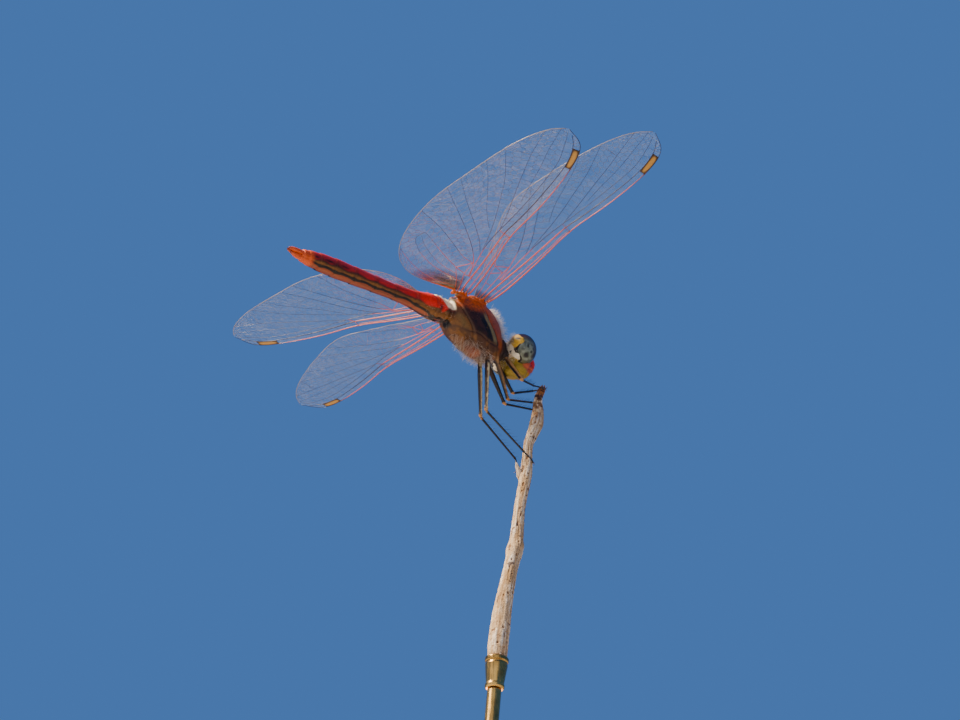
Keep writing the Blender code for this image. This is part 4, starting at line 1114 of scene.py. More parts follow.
def body_skin(tints, grain):
    """The one skin of head, thorax and abdomen: fused, smoothed, carved and painted. Gives its points,
    faces and colours."""
    points, edges, faces = fuse(skin_parts(), grain)
    points = relax(points, edges, 4)
    faces = outward(points, faces)
    points = carve(points, normals_of(points, faces))
    return points, faces, skin_tint(points, tints)


# ---- Eyes ----

EYE_OFFSET, EYE_RADII = 1.63, (1.66, 1.56, 1.86)
EYE_GAP = 0.012                   # from each eye to the plane where the two meet
OCELLUS_RADIUS = 0.13
# Directions of the dark spots on the right eye, seen from its middle, their sizes in degrees and depth
EYE_SPOTS = (((-0.244, -0.649, -0.72), 10, 1), ((-0.26, -0.96, -0.09), 5, 0.75),
             ((-0.26, -0.94, -0.22), 5, 0.75), ((0.063, -0.87, -0.487), 5, 0.85),
             ((-0.55, -0.72, -0.42), 6, 0.4), ((0.2, -0.93, -0.3), 6, 0.35))


def eye_surface(side, tints):
    """A compound eye: an ellipsoid whose rows run back from its front pole, cut off behind along a curve
    that runs forward to the cheek, flat against its twin, with a thin rolled rim."""
    rows, columns = 116, 120
    polar = np.radians(np.linspace(0.6, 160, rows))[:, None]
    turn = angles_round(columns)[None]
    ball = np.stack((np.cos(polar) * np.ones_like(turn), np.sin(polar) * np.cos(turn),
                     np.sin(polar) * np.sin(turn)), -1)
    local = ball * np.array(EYE_RADII)
    height = local[..., 2]
    local[..., 1] -= 0.5 * ramp(0.2, 1, height) * ramp(0.2, -0.9, ball[..., 1])
    cut = (-1.24 + 0.16 * ramp(0.2, 0.9, height) - 0.16 * bump(height, -0.7, 0.4)
           + 0.9 * ramp(-1.1, -2, height))
    behind = np.clip(cut - local[..., 0], 0, None)
    local[..., 0] = np.maximum(local[..., 0], cut - 0.02 * ramp(0, 0.1, behind))
    local[..., 1:] *= 1 - 0.6 * ramp(0.01, 0.22, behind)[..., None]
    middle = np.array([0, EYE_OFFSET, 0])
    points = HEAD + local + middle
    points[..., 1] = np.maximum(points[..., 1], EYE_GAP)
    cover, faces = closed_loft(points * SIDES[side])
    way = unit(np.concatenate((ball.reshape(-1, 3), ball[:1].mean(axis=1), ball[-1:].mean(axis=1))))
    # Spots are given for the right eye, whose outward side is -Y
    way = way * np.array([1, -1, 1])
    lift = way[:, 2]
    cloud = noise(cover * np.array([1, 1, 2.2]), 0.42, 21)
    drift = noise(cover, 0.8, 22)
    layers = [
        (ramp(-0.45, -0.85, lift + 0.3 * (drift - 0.5)) * 0.5, "olive"),
        (ramp(0.5, 0.8, cloud) * 0.55, "pale"),
        (ramp(0.45, 0.25, cloud) * 0.6, "olive"),
        (ramp(0.5, 0.3, drift) * 0.4, "dark"),
        (ramp(-0.05, 0.35, lift + 0.35 * way[:, 0] + 0.3 * (drift - 0.5)), "brown"),
        (ramp(0.3, 0.7, lift + 0.2 * way[:, 0]) * 0.85, "dark"),
        (ramp(0.1, 0.4, way[:, 0]) * ramp(-0.95, -0.5, lift) * 0.95, "brown"),
    ]
    for spot, size, depth in EYE_SPOTS:
        near = np.degrees(np.arccos(np.clip(way @ unit(spot), -1, 1))) * (1 + 0.5 * (cloud - 0.5))
        layers.append((bump(near, size * 1.8, size * 0.5) * 0.45 * depth, "pale"))
        layers.append((ramp(size * 1.35, size * 0.65, near) * depth, "dark"))
    gap = (local[..., 0] - cut).reshape(-1)
    gap = np.concatenate((gap, gap[:1], gap[-1:]))
    layers.append((ramp(0.12, 0.05, gap), "dark"))
    return Shape(cover, faces, paint=paint(tints, "grey", *layers))


def ocelli(tints):
    """The three simple eyes: small domes in front of the vertex and at its sides."""
    shape = Shape()
    for offset in ((1.8, 0, 0.74), (1.5, 0.36, 0.95), (1.5, -0.36, 0.95)):
        shape.add(*ellipsoid(HEAD + offset, [OCELLUS_RADIUS] * 3, 12, 20), paint=paint(tints, "ocellus"))
    return shape


# ---- Twig and stand ----

TWIG_TIP = np.array([10.35, -0.4, -5.95])
# Height below the broken tip, lean ahead of it, and radius of the twig
TWIG_STATIONS = np.array((
    (0, 0, 0.3), (0.7, -0.25, 0.42), (2.2, -0.9, 0.5), (4.2, -1.05, 0.72), (5.6, -1.3, 0.8),
    (7.4, -2.05, 0.64), (9, -2.65, 0.56), (12.4, -3.05, 0.66), (17, -4.1, 0.64), (20.6, -4.6, 0.76),
    (22.2, -4.9, 0.84), (24, -5.45, 0.74), (28, -6.5, 0.88), (31.9, -7.2, 1.02), (34.2, -7.5, 0.98)))
TWIG_WIDTH = 0.96
STUB_ROOT = TWIG_TIP + (-2.95, 0, -12.9)
STUB_WAY = unit((-0.5, 0.62, 0.46))
STUB_STATIONS = np.array(((-0.3, 0.58), (0.3, 0.6), (0.75, 0.55), (1.05, 0.48), (1.25, 0.4)))
# The torn splinter beside the stub: distance along it and radius
SPLINTER_ROOT, SPLINTER_WAY = STUB_ROOT + (-0.35, 0.45, -0.2), unit((-0.52, -0.12, 0.82))
SPLINTER_STATIONS = np.array(((-0.2, 0.34), (0.4, 0.36), (1.1, 0.27), (1.7, 0.19), (2.05, 0.1)))


def twig_axis(count):
    """Middles and radii of the twig at places evenly spread along it."""
    rows = curve(TWIG_STATIONS, count)
    return TWIG_TIP + np.stack((rows[:, 1], 0 * rows[:, 1], -rows[:, 0]), -1), rows[:, 2]


def twig_tube(middles, radii, columns, seed, ragged, width=1):
    """A twig's surface: rings round the path whose radii carry fibres, hollows and pits. Its first end is
    torn: a noise round the ring draws it back. Gives the rings, their angles and the three noises."""
    way, across, over = frame_along(np.gradient(middles, axis=0), (0, 1, 0.05))
    angle = angles_round(columns)[None] * np.ones((len(middles), 1))
    along = reach_of(middles)[:, None] * np.ones((1, columns))
    place = np.stack((np.cos(angle) * 0.75, np.sin(angle) * 0.75, along * 0.09), -1)
    grain = noise(place, 0.13, seed) * 0.6 + noise(place, 0.06, seed + 1) * 0.4
    ring = np.stack((np.cos(angle), np.sin(angle), along * 0.35), -1)
    hollow = noise(ring, 0.9, seed + 2)
    pits = noise(ring * (1, 1, 3), 0.35, seed + 3)
    girth = radii[:, None] * (0.93 + 0.13 * hollow) + 0.11 * (grain - 0.55) - 0.07 * ramp(0.72, 0.9, pits)
    tear = noise(np.stack((np.cos(angle), np.sin(angle), 0 * along), -1), 0.45, seed + 4)
    back = ragged * tear * np.exp(-along / 0.7)
    rings = (middles[:, None] + across[:, None] * (np.cos(angle) * girth)[..., None]
             + over[:, None] * (np.sin(angle) * girth * width)[..., None] + way[:, None] * back[..., None])
    return rings, angle, grain, hollow, pits


def twig_tint(points, grain, hollow, pits, tints):
    """Colours of the dead wood: silvered fibres, tan hollows, flecks of bark, and a browner tip."""
    drop = TWIG_TIP[2] - points[:, 2]
    spots = noise(points, 0.42, 31)
    bark = noise(points * (1, 1, 0.35), 0.8, 32)
    tip = ramp(6.4, 3, drop)
    return paint(tints, "wood",
                 (ramp(0.45, 0.75, grain) * 0.8, "silver"),
                 (ramp(0.5, 0.3, hollow) * 0.5, "tan"),
                 (ramp(0.38, 0.22, grain) * 0.55, "brown"),
                 (ramp(0.66, 0.8, bark) * 0.6, "tan"),
                 (tip * ramp(0.48, 0.6, spots) * 0.85, "brown"),
                 (tip * ramp(0.52, 0.35, bark) * 0.7, "rust"),
                 (tip * ramp(0.62, 0.72, noise(points, 0.5, 33)) * 0.9, "dark"),
                 (ramp(0.72, 0.86, pits) * 0.8, "brown"),
                 (ramp(0.8, 0.9, spots) * 0.8, "dark"),
                 (ramp(1, 0.2, drop) * 0.55, "rust"))


def twig(tints):
    """The cut twig with its knots, the broken stub that the left hind foot stands on, and a splinter."""
    shape = Shape()
    middles, radii = twig_axis(620)
    drop = TWIG_TIP[2] - middles[:, 2]
    rings, angle, *marks = twig_tube(middles, radii, 96, 40, 0.9, TWIG_WIDTH)
    for low, facing, height, size in ((3.2, 0.4, 0.16, 0.5), (5.7, 3.6, 0.2, 0.6), (22, 2, 0.18, 0.7),
                                      (21.4, 5, 0.12, 0.5), (12.9, 1.2, 0.14, 0.7)):
        gap = np.angle(np.exp(1j * (angle - facing)))
        knot = height * bump(drop[:, None], low, size) * bump(gap, 0, 0.7)
        rings = rings + unit(rings - middles[:, None]) * knot[..., None]
    points, faces = closed_loft(rings)

    def spread(values):
        """Values of the rings' points, and their means for the middles of the two end caps."""
        return np.concatenate((values.ravel(), values[0].mean(keepdims=True), values[-1].mean(keepdims=True)))

    shape.add(points, faces, paint=twig_tint(points, *(spread(mark) for mark in marks), tints))
    for stations, root, way in ((STUB_STATIONS, STUB_ROOT, STUB_WAY),
                                (SPLINTER_STATIONS, SPLINTER_ROOT, SPLINTER_WAY)):
        rows = curve(stations, 40)[::-1]
        rings, _, *marks = twig_tube(root + way * rows[:, :1], rows[:, 1], 64, 60, 0.35)
        points, faces = closed_loft(rings)
        tint = paint(tints, "silver", (np.array([0.5]), "wood"))
        # The stub's and the splinter's outer ends are paler
        paler_end = ramp(0.4, 1, (points - root) @ way)[:, None]
        tint = twig_tint(points, *(spread(mark) for mark in marks), tints) * (1 - paler_end) + tint * paler_end
        shape.add(points, faces, paint=tint)
    return shape


def axis_of(node):
    """Ends of a CAD rod's middle line, in body frame millimetres, the upper one first."""
    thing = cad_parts[node]
    points = read(thing.data.vertices, "co", 3)
    matrix = np.array(thing.matrix_world)
    points = (points @ matrix[:3, :3].T + matrix[:3, 3]) / MM - HINGE
    middle = points.mean(axis=0)
    way = np.linalg.svd(points - middle, full_matrices=False)[2][0]
    way = way * np.sign(way[2])
    reach = (points - middle) @ way
    return middle + way * reach.max(), middle + way * reach.min()


def turned(profile, top, foot, columns):
    """A turned form round the line from top to foot: profile is (distance from the foot, radius)."""
    way, across, over = frame_along(top - foot, (0, 1, 0))
    angle = angles_round(columns)[None, :, None]
    ring = across * np.cos(angle) - over * np.sin(angle)
    reach, radius = np.asarray(profile, float).T
    return closed_loft(foot + way * reach[:, None, None] + ring * radius[:, None, None])


def rounded(points, size):
    """A profile whose inner corners are rounded: each is replaced by a curve between points that lie
    size before and after it."""
    points = np.asarray(points, float)
    path = [points[:1]]
    t = np.linspace(0, 1, 6)[:, None]
    for before, corner, after in zip(points, points[1:], points[2:]):
        near = corner + unit(before - corner) * min(size, np.linalg.norm(before - corner) * 0.45)
        far = corner + unit(after - corner) * min(size, np.linalg.norm(after - corner) * 0.45)
        path.append(near * (1 - t) ** 2 + 2 * corner * t * (1 - t) + far * t ** 2)
    path.append(points[-1:])
    return np.concatenate(path)


def stand_base():
    """The walnut disc: turned with a foot, a groove, a rounded edge and a shallow dished top."""
    profile = rounded(((0, 0.5), (0, 26.6), (0.9, 27.3), (1.35, 27.3), (1.5, 26.9), (1.75, 26.9),
                       (1.9, 28), (4.3, 28), (5, 27.2), (5, 24.9), (4.84, 24.6), (4.84, 5),
                       (5, 3.2), (5, 0.5)), 0.22)
    return Shape(*turned(profile, UP - HINGE, -HINGE, 160))


def stand_metal(node):
    """The rod or the collar at its top, turned from brass, from its foot upward."""
    top, foot = axis_of(node)
    length = np.linalg.norm(top - foot)
    columns, *profile = {
        "stand_rod": (40, (0, 0.1), (0, 0.7), (length, 0.7), (length, 0.1)),
        "stand_collar": (64, (0, 0.1), (0, 0.86), (0.18, 0.97), (0.42, 0.97), (0.5, 0.9), (0.62, 0.9),
                         (length - 0.75, 1.12), (length - 0.62, 1.06), (length - 0.5, 1.06),
                         (length - 0.4, 1.18), (length - 0.08, 1.19), (length, 1.12), (length, 0.1)),
    }[node]
    return Shape(*turned(rounded(profile, 0.05), top, foot, columns))


# ---- Hairs and bristles ----

def bristles(shape, roots, ways, lengths, radius, droop, colours, places):
    """Adds tapering curved hairs: each leaves its root along its way and bends towards droop with the
    square of the distance. places are the roots' own spots on an unwrapped skin; each hair's UV is a
    patch 0.003 across there."""
    t = np.array([0, 0.35, 0.7, 1])[None, :, None]
    reach = lengths[:, None, None]
    paths = roots[:, None] + (ways[:, None] * t + np.asarray(droop) * t ** 2) * reach
    girth = np.broadcast_to(radius, len(roots))[:, None] * np.array([[1, 0.8, 0.5, 0.12]])
    points, faces = bundle(paths, girth, 3, np.array([0.31, 0.52, 0.13]))
    corner = np.stack(np.meshgrid(np.linspace(0, 1, 4), (0, 0.5, 1), indexing="ij"), -1).reshape(-1, 2)
    patch = (0.02 + 0.95 * places[:, None] + 0.003 * corner[None]).reshape(-1, 2)
    shape.add(points, faces, paint=np.repeat(colours, 4 * 3, axis=0), uv=patch)


def coat(skin, tints, longest):
    """The body's hairs: long pale ones on the thorax's front and underside and behind the head, short
    ones on its sides, face and tail. Their roots are drawn at random from the skin's points."""
    rng = np.random.default_rng(5)
    points, faces, ground = skin
    normals = normals_of(points, faces)
    x, y, z = points.T
    share, _, abdomen, head = body_regions(points)
    trunk = (1 - abdomen) * (1 - head)
    wide = np.abs(y)
    front = trunk * ramp(0.9, 2, x) * ramp(-3.6, -1.6, z) * ramp(2, 1.2, wide)
    low = trunk * ramp(-5.1, -5.5, z + 0.25 * x) * ramp(3, 2, x)
    occiput = head * ramp(5.2, 4.8, x) * ramp(2.2, 1.7, wide)
    face = head * ramp(6.9, 7.3, x)
    tail = abdomen * ramp(0.25, 0.02, share)
    shape = Shape()
    for mask, count, low_length, high_length, radius, tint, keep in (
            (front, 1200, 0.55, 1.2, 0.011, "pale", 0.05), (low, 800, 0.4, 0.85, 0.01, "pale", 0.25),
            (trunk, 600, 0.15, 0.38, 0.008, "golden", 0.6), (occiput, 620, 0.3, 0.7, 0.01, "pale", 0.2),
            (face, 260, 0.12, 0.3, 0.009, "coral", 0.3), (tail, 260, 0.15, 0.4, 0.008, "pale", 0.3)):
        weight = np.cumsum(mask)
        root = np.searchsorted(weight, rng.uniform(0, weight[-1], count))
        way = unit(normals[root] + rng.normal(0, 0.28, (count, 3)) + (0.12, 0, -0.05))
        length = rng.uniform(low_length, high_length, count) * longest / 1.3
        spot = np.stack((np.arctan2(y[root], z[root] + 3) / math.tau + 0.5, (x[root] + 12) / 21), -1)
        colour = np.asarray(tints[tint][:3]) * (1 - keep) + ground[root] * keep
        bristles(shape, points[root] - normals[root] * 0.02, way, length, radius,
                 (-0.05, 0, -0.16), colour, spot)
    return shape


def leg_bristles(tints, longest):
    """The legs' spines: two rows along each part, longest on the tibia, slanting towards the foot."""
    shape = Shape()
    rng = np.random.default_rng(8)
    for number, leg in enumerate(LEG_POSES):
        (root, knee, heel, toe), _ = leg_joints(leg)
        for part, (start, end, count, length, radius, skin) in enumerate((
                (root, knee, 16, longest * 0.45, 0.014, 0.2), (knee, heel, 13, longest, 0.018, 0.11),
                (heel, toe, 8, longest * 0.3, 0.012, 0.07))):
            along, across, over = frame_along(end - start, (0.1, 1, 0.05))
            share = (np.tile(np.arange(count), 2) + rng.uniform(0.2, 0.8, count * 2)) / (count + 0.6)
            side = np.repeat((-1, 1), count)[:, None]
            out = unit(across * side * 0.75 - over + rng.normal(0, 0.08, (count * 2, 3)))
            roots = start + (end - start) * share[:, None] + out * skin
            ways = unit(out + along * 0.75)
            lengths = length * (0.75 + 0.5 * np.sin(math.pi * share)) * rng.uniform(0.85, 1.1, count * 2)
            spot = np.stack((share, np.full(count * 2, (number * 3 + part + 0.5) / 18)), -1)
            colour = np.tile(paint(tints, "black"), (count * 2, 1))
            bristles(shape, roots, ways, lengths, radius, along * 0.1, colour, spot)
    return shape


# ---- Legs, claws, antennae and tail appendages ----

TOE_LIFT = 0.07                   # from the wood's surface to the middle of a toe
CLAW_RADIUS = 0.05
# Lengths of femur, tibia and tarsus
LEG_LENGTHS = {"fore": (3.88, 3.92, 1.73), "mid": (4.8, 4.81, 1.8), "hind": (6.42, 6.31, 2.13)}
# For femur, tibia and tarsus the pitch down and the heading, in degrees; a heading of 0 is straight
# ahead and a positive one turns to the animal's left
LEG_POSES = {
    "hind_left": ((80.8, 43.3), (32.5, 1.3), (62.5, -131.1)),
    "hind_right": ((85.7, 70.2), (44.1, -20.5), (6.3, 14.2)),
    "mid_left": ((57.5, 2.6), (-14.7, 6), (26.3, -79.4)),
    "mid_right": ((43.4, 27.5), (-19.8, 9.4), (24, -93.5)),
    "fore_left": ((44.7, 7.3), (-27, 4.5), (9, -72.2)),
    "fore_right": ((59.8, -66.8), (-18.5, 25.4), (-7.2, -8.1)),
}
# Direction of the pale stripes on the left legs' femora, mirrored for the right ones
STRIPES = {"hind": ((0.1, -1, 0.1), (0, 1, 0)), "mid": ((-0.3, 0.9, 0.2),),
           "fore": ((-0.2, 0.6, 0.6),)}
# Radius of a leg's parts at shares of their length
FEMUR_SHAPE = ((0, 0.2), (0.06, 0.26), (0.2, 0.29), (0.5, 0.25), (0.85, 0.2), (0.94, 0.23), (1, 0.17))
TIBIA_SHAPE = ((0, 0.13), (0.04, 0.17), (0.1, 0.135), (0.5, 0.12), (0.9, 0.115), (0.97, 0.14), (1, 0.09))
TARSUS_SHAPE = ((0, 0.07), (0.1, 0.095), (0.2, 0.08), (0.24, 0.06), (0.3, 0.09), (0.52, 0.08),
                (0.56, 0.055), (0.62, 0.085), (0.9, 0.08), (1, 0.06))


def leg_joints(leg):
    """Root, knee, heel and toe of a leg, the toe drawn onto the twig's surface."""
    pair, side = leg.split("_")
    joints = [LEG_ROOTS[pair] * SIDES[side]]
    for (pitch, heading), length in zip(np.radians(LEG_POSES[leg]), LEG_LENGTHS[pair]):
        way = np.array([math.cos(pitch) * math.cos(heading), math.cos(pitch) * math.sin(heading),
                        -math.sin(pitch)])
        joints.append(joints[-1] + way * length)
    middles, radii = twig_axis(400)
    rows = curve(STUB_STATIONS, 30)
    middles = np.concatenate((middles, STUB_ROOT + STUB_WAY * rows[:, :1]))
    radii = np.concatenate((radii, rows[:, 1] * 0.9))
    gap = np.linalg.norm(joints[3] - middles, axis=1) - radii
    near = int(np.argmin(gap))
    out = unit(joints[3] - middles[near])
    joints[3] = middles[near] + out * (radii[near] + TOE_LIFT)
    return joints, out


def limb(path, profile, columns=20, ridge=0.05):
    """A closed tube round a path whose radius follows a profile of (share, radius), with four faint
    lengthwise ridges. Also gives each point's share and its direction out of the path."""
    share = np.linspace(0, 1, len(path))
    radius = np.interp(share, *curve(profile, 160).T)
    end = np.sqrt(np.clip(1 - np.clip(np.abs(share - 0.5) * 2 - 0.985, 0, 1) / 0.015, 0.04, 1))
    radius = radius * end
    way, across, over = frame_along(np.gradient(path, axis=0), (0.13, 0.99, 0.05))
    angle = angles_round(columns)[None, :, None]
    out = across[:, None] * np.cos(angle) + over[:, None] * np.sin(angle)
    radius = radius[:, None, None] * (1 + ridge * np.cos(4 * angle))
    points, faces = closed_loft(path[:, None] + out * radius)
    out = np.concatenate((out.reshape(-1, 3), -way[:1], way[-1:]))
    return points, faces, np.concatenate((np.repeat(share, columns), [0, 1])), out


def straight(start, end, steps):
    """A straight path."""
    return start + (end - start) * np.linspace(0, 1, steps)[:, None]


def leg_shape(leg, tints):
    """One leg: trochanter, femur, tibia and three-part tarsus."""
    pair, side = leg.split("_")
    (root, knee, heel, toe), out = leg_joints(leg)
    stripes = unit(STRIPES[pair] * SIDES[side])
    pale = "cream" if pair == "hind" else "orange"
    # The trochanter bridges from the coxa to the femur
    path = curve((root + (-0.06, 0, 0.62), root + (0, 0, 0.1), root + (knee - root) * 0.09), 20)
    points, faces, share, way = limb(path, ((0, 0.3), (0.3, 0.33), (0.65, 0.25), (0.85, 0.27), (1, 0.2)))
    shape = Shape(points, faces, paint=paint(tints, "brown", (ramp(0.5, 0.9, share), "black"),
                                             (ramp(0.1, 0.7, way @ stripes[0]) * 0.5, pale)))
    along = unit(knee - root)
    points, faces, share, way = limb(straight(root + along * 0.22, knee + along * 0.06, 70), FEMUR_SHAPE)
    facing = (way @ stripes.T).max(axis=1) + 0.2 * (noise(points, 0.3, 51) - 0.5)
    narrow = 0.84 if pair == "hind" else 0.7
    layers = [(ramp(narrow, narrow + 0.1, facing) * ramp(0.02, 0.1, share) * 0.9, pale),
              (ramp(0.93, 0.97, share) * 0.8, "orange"),
              (bump(facing, narrow - 0.06, 0.08) * 0.5, "orange")]
    if pair != "hind":
        layers.append((ramp(0.45, 0.1, share) * 0.4, "brown"))
    shape.add(points, faces, paint=paint(tints, "black", *layers))
    points, faces, share, way = limb(straight(knee, heel, 70), TIBIA_SHAPE)
    line = ramp(0.75, 0.95, way @ stripes[0]) * ramp(0.98, 0.7, share) * (pair != "hind")
    shape.add(points, faces, paint=paint(tints, "black", (line * 0.35, pale),
                                         (ramp(0.06, 0.02, share) * 0.7, "orange")))
    sag = toe + out * 0.1 + (heel - toe) * 0.3
    points, faces, share, way = limb(curve((heel, heel * 0.5 + sag * 0.5 + out * 0.03, sag, toe), 60),
                                     TARSUS_SHAPE, 16)
    shape.add(points, faces, paint=paint(tints, "black"))
    return shape


def claw_shape(tints):
    """The two hooked claws of each foot: curved cones that run on from the toe and bend to the wood."""
    paths = []
    for leg in LEG_POSES:
        (_, _, heel, toe), out = leg_joints(leg)
        ahead = unit((toe - heel) - out * ((toe - heel) @ out))
        aside = np.cross(ahead, out)
        for turn in (-1, 1):
            way = ahead + aside * 0.42 * turn
            paths.append(curve((toe - ahead * 0.05, toe + way * 0.16 + out * 0.07,
                                toe + way * 0.3 + out * 0.04, toe + way * 0.38 - out * 0.07), 12))
    radii = np.linspace(1, 0.12, 12) * CLAW_RADIUS
    return Shape(*bundle(np.array(paths), radii, 8, (0.3, 0.2, 0.93)), paint=paint(tints, "brown"))


def antenna_shape(side, tints):
    """An antenna: two thick joints and a fine bristle of five."""
    root = HEAD + (2.05, 0.66, 0.42)
    path = curve([(root + step) * SIDES[side] for step in
                  ((-0.25, -0.05, -0.2), (0.12, 0.05, 0.18), (0.36, 0.14, 0.5), (0.62, 0.28, 0.95))], 60)
    profile = ((0, 0.14), (0.16, 0.15), (0.2, 0.09), (0.24, 0.11), (0.36, 0.1), (0.4, 0.045), (0.6, 0.04),
               (0.62, 0.033), (0.8, 0.032), (0.82, 0.024), (1, 0.012))
    points, faces, share, _ = limb(path, profile, 14, 0)
    return Shape(points, faces, paint=paint(tints, "black", (ramp(0.3, 0.1, share) * 0.5, "brown")))


def tail_appendage(name, tints):
    """A cercus or the lower appendage: a tapered, slightly swollen and pointed form. Its steps are
    distances back, out to the side and up from the abdomen's end."""
    if name == "lower_appendage":
        side = 0
        steps = ((-0.3, 0, -0.24), (0.3, 0, -0.24), (0.8, 0, -0.14), (1.2, 0, -0.02))
        profile = ((0, 0.3), (0.3, 0.31), (0.65, 0.24), (0.9, 0.13), (1, 0.05))
    else:
        side = SIDES[name.split("_")[1]][1]
        steps = ((-0.3, -0.23, 0.18), (0.1, -0.23, 0.18), (0.8, -0.23, 0.22), (1.2, -0.18, 0.26),
                 (1.44, -0.11, 0.32))
        profile = ((0, 0.26), (0.25, 0.27), (0.55, 0.25), (0.75, 0.2), (0.92, 0.11), (1, 0.03))
    rear = ABDOMEN_FRONT + BACK * (ABDOMEN_LENGTH + 0.08)
    path = curve(rear + steps @ np.array([BACK, SIDE * side, OVER]), 50)
    points, faces, share, _ = limb(path, profile, 20, 0.02)
    return Shape(points, faces, paint=paint(tints, "flame", (ramp(0.75, 1, share) * 0.8, "umber")))


# ---- Stage ----

CAMERA_PLACE = (-0.078283, -0.093885, 0.008415)
CAMERA_TURN, CAMERA_RISE = -41.2, -31.7      # degrees: round the model from its right side, and upward
LIT_PLACE = np.array((0.003, 0, 0.088))    # what all lights point at
FLOOR_HALF = 3


def look_along(back):
    """Euler angles of something whose own Z axis points along back and whose X axis stays level."""
    back = Vector(back).normalized()
    across = Vector((0, 0, 1)).cross(back).normalized()
    return Matrix((across, back.cross(across), back)).transposed().to_euler()


def area_light(scene, name, toward, distance, size, power, colour):
    """A square soft light at that distance from the model in a direction, shining at it."""
    toward = unit(toward)
    light = bpy.data.lights.new(name, "AREA")
    light.shape = "SQUARE"
    light.size = size
    light.energy = power
    light.color = colour[:3]
    holder = bpy.data.objects.new(name, light)
    holder.location = LIT_PLACE + toward * distance
    holder.rotation_euler = look_along(toward)
    holder.visible_camera = False
    scene.collection.objects.link(holder)


def build_stage(scene, setting):
    """Pale floor, plain surround, a warm key light above, a soft fill beside the camera, a small warm
    light low behind the model, and the camera."""
    floor = bpy.data.meshes.new("floor")
    corners = [(x * FLOOR_HALF, y * FLOOR_HALF, 0) for x, y in ((-1, -1), (1, -1), (1, 1), (-1, 1))]
    floor.from_pydata(corners, [], [(0, 1, 2, 3)])
    floor.materials.append(matt_plaster(tuple(setting.floor)))
    ground = bpy.data.objects.new("floor", floor)
    scene.collection.objects.link(ground)
    surround = bpy.data.worlds.new("surround")
    surround.use_nodes = True
    backdrop = surround.node_tree.nodes["Background"]
    backdrop.inputs["Color"].default_value = tuple(setting.surround)
    backdrop.inputs["Strength"].default_value = setting.brightness
    scene.world = surround
    area_light(scene, "key", (-0.69, 0.27, 0.75), 0.3, 0.07, setting.key, srgb("#FFE9CC"))
    area_light(scene, "front_fill", (-0.9, -1, 0.25), 0.7, 0.5, setting.fill, srgb("#FFF1DC"))
    area_light(scene, "low_glow", (0.4, 0.55, -0.74), 0.1, 0.012, 0.02, srgb("#FFB066"))
    lens = bpy.data.cameras.new("camera")
    lens.lens = setting.lens
    lens.sensor_width = 36
    lens.clip_start = 0.005
    lens.clip_end = 20
    lens.dof.use_dof = False
    camera = bpy.data.objects.new("camera", lens)
    camera.location = CAMERA_PLACE
    turn, rise = math.radians(CAMERA_TURN), math.radians(CAMERA_RISE)
    camera.rotation_euler = look_along((math.sin(turn) * math.cos(rise), -math.cos(turn) * math.cos(rise),
                                        math.sin(rise)))
    scene.collection.objects.link(camera)
    scene.camera = camera


# ---- Add-on ----

def tint(name, description, code):
    """A colour setting whose default is an sRGB hex colour."""
    return bpy.props.FloatVectorProperty(name=name, description=description, default=srgb(code),
                                         subtype="COLOR", size=4, min=0, max=1)


def length(name, description, millimetres):
    """A length setting, kept in metres, whose default is given in millimetres."""
    return bpy.props.FloatProperty(name=name, description=description, default=millimetres * MM,
                                   min=0.001 * MM, soft_max=millimetres * MM * 3, precision=6, unit="LENGTH")


def amount(name, description, default, **kind):
    """A plain number setting, with a unit where one fits."""
    return bpy.props.FloatProperty(name=name, description=description, default=default, min=0, **kind)


class DARTER_PG_body(bpy.types.PropertyGroup):
    """Body"""
    grain: length("Skin grain", "Edge of the skin's quads: a smaller one carves finer", 0.073)
    tan: tint("Tan", "Ground colour of thorax and abdomen sides", "#5E3C12")
    ochre: tint("Ochre", "Rear and lower plates of the thorax", "#744812")
    olive: tint("Olive", "Pale band of the thorax's side", "#665028")
    stripe: tint("Stripe", "Pale stripe behind the shoulder", "#726644")
    umber: tint("Umber", "Brown bands and seams", "#33180E")
    # Black also paints the shadow round the neck's opening at the back of the head
    black: tint("Black", "Black lines and seams", "#0E0806")
    russet: tint("Russet", "Shoulders and back of the thorax", "#94400F")
    rust: tint("Rust", "Plates below the wings", "#BE520E")
    # Cream on the abdomen's first rings is partly a painted highlight
    cream: tint("Cream", "Pale patches", "#EFE4C6")
    yellow: tint("Yellow", "Back of the head behind the eyes", "#C9A030")
    cheek: tint("Cheek", "Cheeks and lower lip", "#96801C")
    crimson: tint("Crimson", "Back of the abdomen, and frons", "#BC1A0E")
    # Scarlet also paints a highlight on the back of the third and fourth rings
    scarlet: tint("Scarlet", "Brightest red, on the abdomen's front rings", "#E42408")
    coral: tint("Coral", "Lips and shield of the face", "#B2452A")
    flame: tint("Flame", "Orange red of the tail's end", "#D2500E")
    amber: tint("Amber", "Belly of the abdomen", "#7E3208")


class DARTER_PG_hairs(bpy.types.PropertyGroup):
    """Hairs"""
    longest: length("Longest hair", "Length of the longest hairs, on the thorax's front", 1.3)
    pale: tint("Pale hairs", "Long hairs of the thorax's front and underside", "#F4EBDA")
    golden: tint("Golden hairs", "Short hairs of the thorax's sides", "#A87838")
    coral: tint("Face hairs", "Short hairs of the face", "#9A3A22")


class DARTER_PG_eyes(bpy.types.PropertyGroup):
    """Eyes"""
    grey: tint("Grey green", "Lower part of the eyes", "#4F5A4E")
    pale: tint("Pale", "Light clouds in the lower part", "#8E9784")
    olive: tint("Olive", "Lowest part", "#46481F")
    brown: tint("Brown", "Upper part", "#33130D")
    dark: tint("Dark", "Spots, rim and crown", "#0A0605")
    ocellus: tint("Simple eyes", "The three small domes", "#3A120C")


